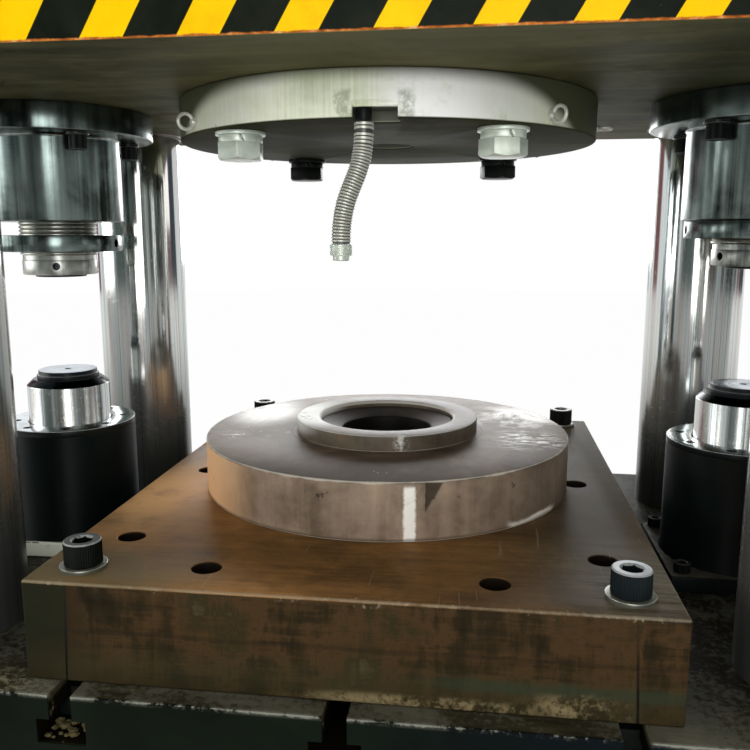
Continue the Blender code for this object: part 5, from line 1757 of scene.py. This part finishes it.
@dataclass
class BedAndTable(Assembly):
    """Bed, crown, table and T-nuts, which keep their modelled shapes, and what lies in a slot."""

    crumbs: int = 26
    slot: Point = (-0.320, -0.478, 0.6995)

    def build(self) -> None:
        """Dress the modelled pieces and drop the crumbs."""
        for node in ("bed", "crown"):
            self.dress(node, replace(DARK_GREEN, name=f"dark_green_{node}", block=self.corners(node)))
        self.dress("table", TABLE)
        for corner in CORNERS:
            self.dress(f"tee_nut_{corner}", OXIDE)
        self.litter()

    def litter(self) -> None:
        """Make the crumbs of rust and dirt in the mouth of the left slot."""
        shake = random.Random(7)
        crumbs = []
        for _ in range(self.crumbs):
            Bench.deselect()
            size = shake.uniform(0.0018, 0.0062)
            bpy.ops.mesh.primitive_ico_sphere_add(subdivisions=2, radius=size, location=(0, 0, 0))
            crumb = bpy.context.object
            for vertex in crumb.data.vertices:
                vertex.co *= shake.uniform(0.78, 1.12)
                vertex.co.z *= 0.6
            x, y, z = self.slot
            place = (x + shake.uniform(-0.023, 0.023), y + shake.uniform(0.0, 0.030), z + size * 0.55)
            Bench.lay(crumb, shift(*place) @ Matrix.Rotation(shake.uniform(0, 6), 4, "Z"))
            crumbs.append(crumb)
        self.keep(Bench.join(crumbs, "slot_crumbs"), CRUMBS, "rusty_plate_steel")


@dataclass
class Columns(Assembly):
    """The four columns with their nuts."""

    shoulder: float = 0.060
    radius: float = 0.086
    end_radius: float = 0.075
    foot_radius: float = 0.115
    foot_heights: tuple[float, float] = (0.015, 0.1497)
    flats: float = 0.225

    def build(self) -> None:
        """Turn each column and its foot nut, and make the nut above the crown."""
        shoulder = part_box("bed")[1].z - self.shoulder + FIT
        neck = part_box("crown")[0].z - FIT
        end, chamfer = self.end_radius, 0.005
        for name in CORNERS:
            centre, low, high, _ = self.spot(f"column_{name}")
            nut_low, nut_high = low + self.foot_heights[0], self.foot_heights[1]
            profile = [(0, high), (end - chamfer, high), (end, high - chamfer), (end, neck), (self.radius, neck),
                       (self.radius, 1.2), (self.radius, shoulder), (end, shoulder), (end, nut_high),
                       (self.foot_radius, nut_high), (self.foot_radius, nut_low), (end, nut_low), (end, low), (0, low)]
            column = Bench.turn(f"column_{name}_ground", profile, centre, 128, bevel=0.0012, segments=1)
            # the front left column is a darker copy of the same chrome, as painted shade
            in_painted_shade = name == "front_left"
            chrome = Chrome(f"column_chrome_{name}", centre=(centre.x, centre.y, 0.0), shade=0.5 if in_painted_shade else 0.9,
                            film=0.8, reach=0.62 if in_painted_shade else 0.36)
            self.keep(column, chrome, "column_chrome", f"column_{name}")
            self.nut(name, centre)

    def nut(self, name: str, centre: Vector) -> None:
        """Make a chamfered nut above the crown.

        Args:
            name: the column's corner.
            centre: the column's centre.
        """
        _, low, high, _ = self.spot(f"column_nut_{name}")
        nut = Bench.hex_head(f"column_nut_{name}_chamfered", self.flats, low, high, top_chamfer=True)
        Bench.cut(nut, [Bench.turn("bore", rod(self.end_radius + 0.0004, high + OVER, low - OVER))])
        Bench.lay(Bench.soften(nut), shift(centre.x, centre.y))
        self.keep(nut, OXIDE, "dark_turned_steel", f"column_nut_{name}")


@dataclass
class MainCylinder(Assembly):
    """Main cylinder in the crown with its nut, head, gland and the ram."""

    neck: float = 0.200
    outer: float = 0.220
    shoulder: float = 0.250
    bore: float = 0.165
    cover: float = 0.060
    ram_radius: float = 0.150
    nut_slots: int = 6

    def build(self) -> None:
        """Make the pieces from the top down."""
        self.barrel()
        self.ring_nut()
        self.head()
        self.gland()
        self.ram()

    def turned(self, node: str, ending: str, profile: Profile, bevel: float, body: str | None = None) -> None:
        """Turn a dark steel ring about the press's axis.

        Args:
            node: the node that it shows.
            ending: what its name ends with.
            profile: pairs of radius and height.
            bevel: width of its bevels.
            body: the body that it rides on, if not the frame.
        """
        ring = Bench.turn(f"{node}_{ending}", profile, sides=128, ring=True, bevel=bevel)
        steel = TurnedSteel(f"{node.removeprefix('cylinder_')}_steel", centre=(0, 0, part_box(node)[0].z))
        self.keep(ring, steel, "dark_turned_steel", node, body=body)

    def barrel(self) -> None:
        """Turn the cylinder, bored from below."""
        _, low, high, _ = self.spot("main_cylinder")
        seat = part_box("crown")[0].z - FIT
        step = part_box("cylinder_nut")[0].z - FIT
        profile = [(0, high), (self.neck - 0.003, high), (self.neck, high - 0.003), (self.neck, step),
                   (self.outer, step), (self.outer, seat), (self.shoulder, seat), (self.shoulder, low),
                   (self.bore, low), (self.bore, high - self.cover), (0, high - self.cover)]
        piece = Bench.turn("main_cylinder_bored", profile, sides=128, bevel=0.0015)
        self.keep(piece, DARK_GREEN, "dark_green_paint", "main_cylinder")

    def ring_nut(self) -> None:
        """Turn the ring nut and cut its spanner slots."""
        _, low, high, radius = self.spot("cylinder_nut")
        nut = Bench.turn("cylinder_nut_slotted", tube(radius, self.neck + 0.0005, high, low), sides=120, ring=True,
                         bevel=0.002)
        slots = []
        for i in range(self.nut_slots):
            slot = Bench.block("slot", (radius - 0.022, -0.018, low - OVER), (radius + 0.02, 0.018, high + OVER))
            slots.append(Bench.lay(slot, Matrix.Rotation(math.tau * i / self.nut_slots, 4, "Z")))
        Bench.cut(nut, [Bench.join(slots)])
        self.keep(Bench.soften(nut, 0.0012), TurnedSteel("ring_nut_steel", centre=(0, 0, low)),
                  "dark_turned_steel", "cylinder_nut")

    def head(self) -> None:
        """Turn the head, add its port and its ring of screws."""
        _, low, high, radius = self.spot("cylinder_head")
        flange_top = low + 0.030
        head = Bench.turn("cylinder_head_turned", [
            (0, high), (0.130, high), (0.140, high - 0.010), (0.140, flange_top), (radius, flange_top),
            (radius, low), (0, low)], sides=128, bevel=0.0025)
        port = Bench.turn("port", [(0, 0.200), (0.030, 0.200), (0.030, 0.190), (0.045, 0.190), (0.045, 0.160),
                                   (0.036, 0.154), (0.036, 0.100), (0, 0.100)], sides=64, bevel=0.001)
        Bench.lay(port, shift(z=flange_top + 0.060) @ spun(-90.0, "X"))
        self.keep(Bench.join([head, port]), DARK_GREEN, "dark_green_paint", "cylinder_head")
        self.screws("cylinder_head_screws", (0.030, 0.018, 0.014), flange_top, (0.330, 12), start=15.0)

    def gland(self) -> None:
        """Turn the gland under the cylinder, with its screws."""
        _, low, high, radius = self.spot("cylinder_gland")
        bore = self.ram_radius + 0.0005
        self.turned("cylinder_gland", "turned", [(radius, high), (radius, low), (self.ram_radius + 0.006, low),
                                                 (bore, low + 0.005), (bore, high)], 0.0015)
        self.screws("cylinder_gland_screws", (0.024, 0.014, 0.012), low, (0.370, 8), down=True)

    def ram(self) -> None:
        """Turn the ram and the flange that holds its foot."""
        _, low, high, radius = self.spot("ram")
        foot, foot_top, piston = radius + 0.005, low + 0.015, high - 0.080
        ram = Bench.turn("ram_ground", [
            (0, high), (radius, high), (radius, piston), (self.ram_radius, piston), (self.ram_radius, foot_top),
            (foot, foot_top), (foot, low), (0, low)], sides=128, bevel=0.001)
        self.keep(ram, Chrome("ram_chrome", low=1.9, film=0.3), "column_chrome", "ram", body="slide")
        _, low, high, radius = self.spot("ram_flange")
        bore = self.ram_radius + 0.0005
        self.turned("ram_flange", "turned", [(radius, high), (radius, low), (0.1705, low), (0.1705, low + 0.0155),
                                             (bore, low + 0.0155), (bore, high)], 0.002, "slide")
        self.screws("ram_flange_screws", (0.036, 0.022, 0.017), high, (0.384, 8), start=22.5, body="slide")


@dataclass
class Slide(Assembly):
    """Moving crosshead with its guide bushes."""

    body: str = "slide"
    column_radius: float = 0.086
    bush_radius: float = 0.1025
    flange: float = 0.030

    def build(self) -> None:
        """Dress the slide and turn the bushes."""
        self.dress("slide", replace(HAZARD, block=self.corners("slide")))
        bore = self.column_radius + 0.0006
        for name in CORNERS:
            node = f"guide_bush_{name}"
            centre, low, high, radius = self.spot(node)
            bush = Bench.turn(f"{node}_turned", [
                (radius, high), (radius, high - self.flange), (self.bush_radius, high - self.flange),
                (self.bush_radius, low), (bore + 0.002, low), (bore, low + 0.002), (bore, high - 0.004),
                (bore + 0.004, high)], centre, 96, ring=True, bevel=0.0012)
            self.keep(bush, BRONZE, "bronze", node)
            self.screws(f"{node}_screws", (0.018, 0.010, 0.008), high, (0.222, 8), centre, 22.5)


@dataclass
class Platen(Assembly):
    """Round platen under the slide, with its notch, bolts and eyebolts."""

    body: str = "slide"
    bore: float = 0.039
    hole: float = 0.0195
    bolt: tuple[float, float] = (0.172, 0.205)
    bolt_flats: float = 0.055
    bolt_turns: tuple[float, ...] = (8.0, -21.0, 3.0, 16.0)
    notch_x: float = 0.021
    notch: Point = (0.054, 0.046, 0.014)
    eye_angles: tuple[float, ...] = (-42.4, -138.4, 42.4, 137.6)
    eye_height: float = 0.0135
    eye_size: tuple[float, float] = (0.0095, 0.0030)
    rim_eye_size: tuple[float, float] = (0.0100, 0.0024)

    def build(self) -> None:
        """Turn the platen, notch it and hang its small parts on it."""
        _, low, high, radius = self.spot("platen")
        platen = Bench.turn("platen_turned", tube(radius, self.bore, high, low), sides=192, ring=True, bevel=0.003,
                            segments=3)
        wide, deep, tall = self.notch
        left, right, ceiling = self.notch_x - wide / 2, self.notch_x + wide / 2, low + tall
        notch = Bench.block("notch", (left, -radius - 0.02, low - 0.02), (right, -radius + deep, ceiling))
        lip = Bench.block("lip", (left, -radius - 0.012, ceiling - 0.010), (right, -radius + 0.004, ceiling + 0.006))
        middle = shift(0, -radius, ceiling)
        Bench.lay(lip, middle @ spun(-35, "X") @ middle.inverted())
        holes = [Bench.turn("hole", rod(self.hole, high + OVER, low - OVER), place, 48)
                 for place in around(*self.bolt).values()]
        Bench.cut(platen, [notch, lip, Bench.join(holes)])
        self.keep(Bench.soften(platen), PLATEN_PAINT, "platen_paint", "platen")
        for name, turn in zip(CORNERS, self.bolt_turns):
            self.hex_bolt(name, turn)
        self.eyebolts(radius, low)

    def hex_bolt(self, name: str, turn: float) -> None:
        """Make a hex bolt with its shank, spring washer and flat washer.

        Args:
            name: the bolt's corner.
            turn: how far its head is turned, in degrees.
        """
        centre, low, high, _ = self.spot(f"platen_bolt_{name}")
        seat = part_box("platen")[0].z - FIT
        flat, spring = seat - 0.005, seat - 0.014
        head = Bench.hex_head(f"platen_bolt_{name}_head", self.bolt_flats, low, spring - 0.0001)
        Bench.lay(head, spun(turn))
        shank = Bench.turn("shank", [(0, high), (0.016, high), (0.018, high - 0.002), (0.018, spring - 0.002),
                                     (0, spring - 0.002)], sides=48)
        washer = Bench.turn("flat_washer", tube(0.033, 0.0186, seat, flat + 0.0001), sides=96, ring=True, bevel=0.0007)
        ring = Bench.turn("spring_washer", tube(0.029, 0.0188, flat, spring), sides=96, ring=True, bevel=0.0007)
        Bench.cut(ring, [self.split(flat, spring)])
        bolt = Bench.join([head, shank, washer, ring], f"platen_bolt_{name}_fitted")
        Bench.lay(bolt, shift(centre.x, centre.y))
        self.keep(bolt, ZINC if name.startswith("front") else OXIDE, "zinc_plate", f"platen_bolt_{name}")

    @staticmethod
    def split(high: float, low: float) -> Piece:
        """Return the slanted cutter of a spring washer's gap."""
        gap = Bench.block("gap", (0.010, -0.0013, -0.012), (0.036, 0.0013, 0.012))
        return Bench.lay(gap, spun(-70.0) @ shift(z=(low + high) / 2) @ spun(26.0, "X"))

    @staticmethod
    def eye(radius: float, tilt: float, name: str, size: tuple[float, float]) -> Piece:
        """Make an eyebolt that points out of the rim along X.

        Args:
            radius: the platen's radius.
            tilt: turn of the ring about its shank in degrees, 0 for a level ring.
            name: the piece's name.
            size: radius of the ring and of its wire.

        Returns:
            The eyebolt, with its shank's middle at height 0.
        """
        ring_radius, wire = size
        start = radius + FIT
        Bench.deselect()
        bpy.ops.mesh.primitive_torus_add(major_radius=ring_radius, minor_radius=wire, major_segments=56,
                                         minor_segments=18, location=(0, 0, 0))
        ring = bpy.context.object
        Bench.lay(ring, shift(start + 0.003 + ring_radius + wire - 0.002) @ spun(tilt, "X"))
        collar = Bench.turn("collar", [(0, start + 0.006), (0.0035, start + 0.006), (0.0050, start + 0.003),
                                       (0.0065, start + 0.0024), (0.0065, start), (0, start)], sides=40)
        Bench.lay(collar, spun(90.0, "Y"))
        return Bench.join([Bench.soften(Bench.join([ring, collar]))], name)

    def eyebolts(self, radius: float, low: float) -> None:
        """Make the two eyebolts at the platen's sides and the four on its diagonals.

        Args:
            radius: the platen's radius.
            low: height of its underside.
        """
        for side, height, tilt, turn in ((Side.LEFT, 0.044, 90.0, 180.0), (Side.RIGHT, 0.022, 0.0, 0.0)):
            eye = self.eye(radius, tilt, f"eyebolt_{side.value}_round", self.eye_size)
            Bench.lay(eye, shift(z=low + height) @ spun(turn))
            self.keep(eye, STRIP, "galvanised_strip", f"eyebolt_{side.value}")
        pattern = self.eye(radius, 90.0, "rim_eye", self.rim_eye_size)
        moves = [shift(z=low + self.eye_height) @ spun(angle) for angle in self.eye_angles]
        for eye, angle in zip(Bench.copies(pattern, moves, "rim_eye"), self.eye_angles):
            self.keep(eye, STRIP if angle < 0 else OXIDE, "galvanised_strip")


@dataclass
class LowerDie(Assembly):
    """Die plate, its screws, the die disc and the die ring."""

    holes: tuple[tuple[float, float], ...] = (
        (0.305, 0.309), (-0.305, 0.309), (0.305, -0.309), (-0.305, -0.309), (0.172, 0.394), (-0.172, 0.394),
        (0.172, -0.394), (-0.172, -0.394), (0.305, 0.0), (-0.305, 0.0))
    screw: tuple[float, float] = (0.320, 0.411)
    screw_turns: tuple[float, ...] = (12.0, 40.0, 5.0, 25.0)
    screw_end: float = 0.7061

    def build(self) -> None:
        """Make the plate and what stands on it."""
        self.plate()
        for (name, place), turn in zip(around(*self.screw).items(), self.screw_turns):
            self.plate_screw(name, place, turn)
        self.disc()
        self.ring()

    def plate(self) -> None:
        """Make the plate with rounded, slightly beaten edges and chamfered holes."""
        low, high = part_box("die_plate")
        end = low.z - OVER
        plate = Bench.block("die_plate_beaten", low, high, 0.0028, 3)
        spare = [(0, high.z + 0.002), (0.0205, high.z + 0.002), (0.018, high.z - 0.0015), (0.018, end), (0, end)]
        cutters = [Bench.turn("hole", spare, place, 48) for place in self.holes]
        cutters += [Bench.turn("hole", rod(0.0165, high.z + OVER, end), place, 32)
                    for place in around(*self.screw).values()]
        Bench.cut(plate, [Bench.join(cutters)])
        self.keep(Bench.soften(plate), RUSTY, "rusty_plate_steel", "die_plate")

    def plate_screw(self, name: str, place: tuple[float, float], turn: float) -> None:
        """Make one big socket screw with its shank and washer.

        Args:
            name: the screw's corner.
            place: its place on the plate.
            turn: how far it is turned, in degrees.
        """
        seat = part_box("die_plate")[1].z + FIT
        under = seat + 0.005
        head = Bench.lay(Bench.socket_screw(0.045, 0.030, 0.022, under), spun(turn))
        shank = Bench.turn("shank", [(0, under + 0.002), (0.015, under + 0.002), (0.015, 0.766), (0.012, 0.7655),
                                     (0.012, self.screw_end), (0, self.screw_end)], sides=40)
        screw = Bench.join([head, shank], f"plate_screw_{name}_knurled")
        Bench.lay(screw, shift(*place))
        # the front right screw's top is painted bright as lit, the others stay darker as shaded
        right = name == "front_right"
        finish = FacedMetal(f"plate_screw_finish_{name}", face=0xE2E6E8 if right else 0x3E443A,
                            side=0x11181B if right else 0x090D08, above=under + 0.028, metal=0.3, rough=0.3,
                            edge_wear=0.35, shine=0.1)
        self.keep(screw, finish, "black_oxide", f"plate_screw_{name}")
        washer = Bench.turn(f"plate_washer_{name}", tube(0.028, 0.0155, under, seat), place, ring=True, bevel=0.0008)
        self.keep(washer, WASHER, "zinc_plate")

    def disc(self) -> None:
        """Turn the disc with its spigot, mouth and bore."""
        _, low, high, radius = self.spot("die_disc")
        top = high - 0.015
        disc = Bench.turn("die_disc_turned", [
            (0.1065, high), (0.1065, top), (0.155, top), (0.215, top), (radius, top), (radius, low), (0.072, low),
            (0.072, high - 0.011), (0.104, high)], sides=192, ring=True, bevel=0.0018, segments=3)
        steel = DiscSteel("die_disc_steel", centre=(0, 0, low), radius=radius, top=top)
        self.keep(disc, steel, "die_steel", "die_disc")

    def ring(self) -> None:
        """Turn the ring that sits round the spigot."""
        _, low, high, radius = self.spot("die_ring")
        ring = Bench.turn("die_ring_turned", [(radius, high), (radius, low), (0.107, low), (0.107, high - 0.004),
                                              (0.111, high)], sides=192, ring=True, bevel=0.0015, segments=3)
        glare = (((-0.112, -0.015, high), (0.055, 0.075, 0.02)),
                 ((0.0376, -0.141, high - 0.010), (0.008, 0.012, 0.013)))
        steel = TurnedSteel("die_ring_steel", centre=(0, 0, low), bright=0x6A6153, dark=0x3C342A, stains=0.3,
                            gloss=0.46, metal=0.1, shine=0.12, glare=glare)
        self.keep(ring, steel, "die_steel", "die_ring")


@dataclass
class Stop(Assembly):
    """Screw stop on one side of the slide."""

    side: Side = Side.LEFT
    reach: float = 0.256
    x: float = 0.550
    flange_radius: float = 0.158
    flange_low: float = 0.040
    barrel_radius: float = 0.105
    barrel_length: float = 0.171
    screw_radius: float = 0.061
    root: float = 0.0578
    pitch: float = 0.006
    collar: tuple[float, float] = (0.059, 0.024)
    recess: tuple[float, float] = (0.0408, 0.0043)
    tommy_start: float = -68.0
    tommy_height: float = 0.0142
    flange_circle: tuple[float, int] = (0.254, 4)

    def build(self) -> None:
        """Make the barrel, its screws, the stop screw, the strike pad and the lock nut."""
        name = self.side.value
        place = Vector((self.side.sign * self.x, 0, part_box("slide")[0].z))
        foot = place.z - self.reach
        radius, height = self.collar
        steel = TurnedSteel(f"stop_steel_{name}", centre=(place.x, 0, place.z), bright=0x808E8A, dark=0x181F1A,
                            stain=0x322E22, stains=0.3, gloss=0.20, metal=0.95, streaks=2.2, edge_wear=0.1)
        bright_steel = replace(steel, name=f"screw_steel_{name}", bright=0xBEC2BA, dark=0x323630, stains=0.4,
                               gloss=0.30, metal=0.9, edge_wear=0.3, streaks=1.2,
                               sunk=(radius - 0.002, foot + 0.003, foot + height - 0.003))
        self.barrel(name, place, steel)
        self.stop_screw(name, place, foot, bright_steel)
        self.pad(name)
        self.nut(name, place, steel)

    def barrel(self, name: str, place: Vector, steel: Finish) -> None:
        """Turn the flanged barrel and put its washers and screws under the flange.

        Args:
            name: the side's name.
            place: the stop's place under the slide.
            steel: the side's finish.
        """
        top, low, end = place.z - FIT, place.z - self.flange_low, place.z - self.barrel_length
        bore = self.screw_radius + 0.0008
        barrel = Bench.turn(f"stop_barrel_{name}_turned", [
            (self.flange_radius, top), (self.flange_radius, low), (self.barrel_radius + 0.003, low),
            (self.barrel_radius, low - 0.003), (self.barrel_radius, end), (bore, end), (bore, top)],
            place, 160, ring=True, bevel=0.0022, segments=3)
        self.keep(barrel, steel, "dark_turned_steel", f"stop_barrel_{name}", body="slide")
        washer = Bench.turn("washer", tube(0.017, 0.007, low, low - 0.003), sides=64, ring=True, bevel=0.0005)
        washers = self.ring_of(washer, f"stop_washers_{name}", *self.flange_circle, place, 45.0)
        self.keep(washers, DARK_WASHER, "zinc_plate", body="slide")
        self.screws(f"stop_barrel_screws_{name}", (0.0265, 0.0218, 0.014), low - 0.0031, self.flange_circle, place,
                    45.0, down=True, body="slide")

    def stop_screw(self, name: str, place: Vector, foot: float, steel: Finish) -> None:
        """Make the thread, and the collar below it with its tommy holes.

        Args:
            name: the side's name.
            place: the stop's place under the slide.
            foot: height of the collar's underside.
            steel: the screw's finish.
        """
        node = f"stop_screw_{name}"
        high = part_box(node)[1].z
        radius, height = self.collar
        recess, depth = self.recess
        collar = Bench.turn(f"{node}_threaded", [
            (0, foot + height), (radius, foot + height), (radius, foot), (recess, foot), (recess, foot + depth),
            (0, foot + depth)], place, 128, bevel=0.0016)
        self.drill(collar, place, foot + self.tommy_height, radius, (0.0072, 0.0060, 0.025),
                   [self.tommy_start + 90.0 * i for i in range(4)])
        crest = self.pitch * 0.12
        ridge = [(self.root, 0.0), (self.screw_radius, -self.pitch / 2 + crest),
                 (self.screw_radius, -self.pitch / 2 - crest), (self.root, -self.pitch)]
        thread = Bench.stack("thread", ridge, self.pitch, int((high - foot - height - 0.003) / self.pitch), 72)
        Bench.lay(thread, shift(place.x, place.y, high - 0.0005))
        neck = Bench.turn("neck", rod(self.root, high - 0.001, foot + height - 0.002), place, 72)
        screw = Bench.soften(Bench.join([collar, thread, neck]))
        self.keep(screw, steel, "dark_turned_steel", node, body=node)

    def pad(self, name: str) -> None:
        """Turn the strike pad.

        Args:
            name: the side's name.
        """
        node = f"strike_pad_{name}"
        centre, low, high, radius = self.spot(node)
        pad = Bench.turn(f"{node}_turned", [(0, high), (radius, high), (radius, low), (radius * 0.5, low), (0, low)],
                         centre, 96, bevel=0.001)
        self.keep(pad, WEAR_STEEL, "zinc_plate", node, body=node)

    def nut(self, name: str, place: Vector, steel: Finish) -> None:
        """Turn the lock nut and drill its spanner holes.

        Args:
            name: the side's name.
            place: the stop's place under the slide.
            steel: the side's finish.
        """
        node = f"lock_nut_{name}"
        _, low, high, radius = self.spot(node)
        nut = Bench.turn(f"{node}_turned", tube(radius, self.screw_radius + FIT, high, low), place, 160, ring=True,
                         bevel=0.0018)
        self.drill(nut, place, (low + high) / 2, radius, (0.0080, 0.0070, 0.018), (0.0, 180.0))
        self.keep(Bench.soften(nut), steel, "dark_turned_steel", node, body=node)


@dataclass
class Buffer(Assembly):
    """Buffer cylinder on one side of the table."""

    side: Side = Side.LEFT
    radius: float = 0.106
    bore: float = 0.0803
    base: float = 0.0247
    plunger_radius: float = 0.0665
    screw_inset: float = 0.019
    gland_circle: float = 0.173
    gland_screws: int = 8
    sink: tuple[float, float] = (0.0072, 0.0088)

    def build(self) -> None:
        """Make the body, the gland, the plunger and the wear pad."""
        name = self.side.value
        centre = self.spot(f"buffer_cylinder_{name}")[0]
        self.cylinder(name)
        self.gland(name, centre)
        self.plunger(name, centre)

    def cylinder(self, name: str) -> None:
        """Make the base with its screws, and the cylinder on it.

        Args:
            name: the side's name.
        """
        centre, low, high, half = self.spot(f"buffer_cylinder_{name}")
        top = low + self.base
        base = Bench.block("base", (centre.x - half, centre.y - half, low), (centre.x + half, centre.y + half, top),
                           0.0025, 3)
        wall = Bench.turn("wall", [
            (self.radius, high), (self.radius, top + 0.004), (self.radius + 0.003, top - 0.001),
            (self.bore, top - 0.001), (self.bore, high)], centre, 144, ring=True, bevel=0.001)
        body = Bench.join([base, wall], f"buffer_cylinder_{name}_painted")
        finish = BLACK_GLOSS
        # the left base's front face gets a near-white patch: rubbed paint with a painted highlight
        if self.side is Side.LEFT:
            rubbed_and_lit = ((centre.x + 0.03, centre.y - half, low + 0.011), (half * 1.1, 0.006, 0.020))
            finish = replace(BLACK_GLOSS, name="black_gloss_rubbed", bare=rubbed_and_lit)
        self.keep(Bench.soften(body), finish, "black_gloss_paint", f"buffer_cylinder_{name}")
        inset = half - self.screw_inset
        moves = [shift(centre.x + x, centre.y + y) for x, y in around(inset, inset).values()]
        heads = Bench.repeat(Bench.socket_screw(0.024, 0.016, 0.012, top), moves, f"buffer_base_screws_{name}")
        self.keep(heads, OXIDE, "black_oxide")

    def gland(self, name: str, centre: Vector) -> None:
        """Turn the gland ring, with its sunk socket screws.

        Args:
            name: the side's name.
            centre: the buffer's centre.
        """
        _, low, high, radius = self.spot(f"buffer_gland_{name}")
        hole = self.plunger_radius + 0.0006
        gland = Bench.turn(f"buffer_gland_{name}_turned", [
            (radius, high), (radius, low), (hole, low), (hole, high - 0.0015), (hole + 0.0015, high)], centre, 160,
            ring=True, bevel=0.0022, segments=3)
        cutters = []
        for i in range(self.gland_screws):
            angle, span = math.tau * (i + 0.5) / self.gland_screws, self.gland_circle / 2
            spot = (centre.x + span * math.cos(angle), centre.y + span * math.sin(angle))
            cutters.append(Bench.turn("sink", rod(self.sink[0], high + OVER, high - self.sink[1]), spot, 40))
        Bench.cut(gland, [Bench.join(cutters)])
        finish = FacedMetal(f"gland_steel_{name}", face=0xE8EEF0, side=0x0F1514, above=high - 0.0005, metal=1.0,
                            rough=0.13, edge_wear=0.6)
        self.keep(Bench.soften(gland), finish, "dark_turned_steel", f"buffer_gland_{name}")
        self.screws(f"buffer_gland_screws_{name}", (0.013, 0.0082, 0.006), high - 0.0087,
                    (self.gland_circle, self.gland_screws), centre, 22.5)

    def plunger(self, name: str, centre: Vector) -> None:
        """Turn the plunger with its piston, and the wear pad.

        Args:
            name: the side's name.
            centre: the buffer's centre.
        """
        node = f"plunger_{name}"
        _, low, high, piston = self.spot(node)
        shoulder, step, radius = high - 0.010, low + 0.040, self.plunger_radius
        turned = Bench.turn(f"{node}_ground", [
            (0, high), (0.056, high), (radius, shoulder), (radius, step), (piston, step), (piston, low), (0, low)],
            centre, 144, bevel=0.0008)
        # shade 0.8 darkens the plunger's chrome as painted shade
        chrome = Chrome(f"plunger_chrome_{name}", centre=(centre.x, 0, 0.0), low=0.5, film=0.0, blur=0.16,
                        shade=0.8, cap=shoulder)
        self.keep(turned, chrome, "column_chrome", node, body=node)
        _, low, high, rim = self.spot(f"wear_pad_{name}")
        pad = Bench.turn(f"wear_pad_{name}_turned", [
            (0, high - 0.006), (0.005, high - 0.006), (0.005, high), (0.030, high), (0.047, high),
            (0.047, low + 0.007), (rim, low + 0.007), (rim, low), (0, low)], centre, 144, bevel=0.0009)
        self.keep(pad, WEAR_STEEL, "zinc_plate", f"wear_pad_{name}", body=node)


def main() -> None:
    """Build the studio and the press."""
    logging.basicConfig(level=logging.INFO, format="%(message)s")
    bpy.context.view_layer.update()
    for maker in (Studio, Conduit, BedAndTable, Columns, MainCylinder, Slide, Platen, LowerDie):
        maker().build()
    Stop(side=Side.LEFT, reach=0.256).build()
    Stop(side=Side.RIGHT, reach=0.237).build()
    for side in Side:
        Buffer(side=side).build()
    Bench.deselect()


if __name__ == "__main__":
    main()
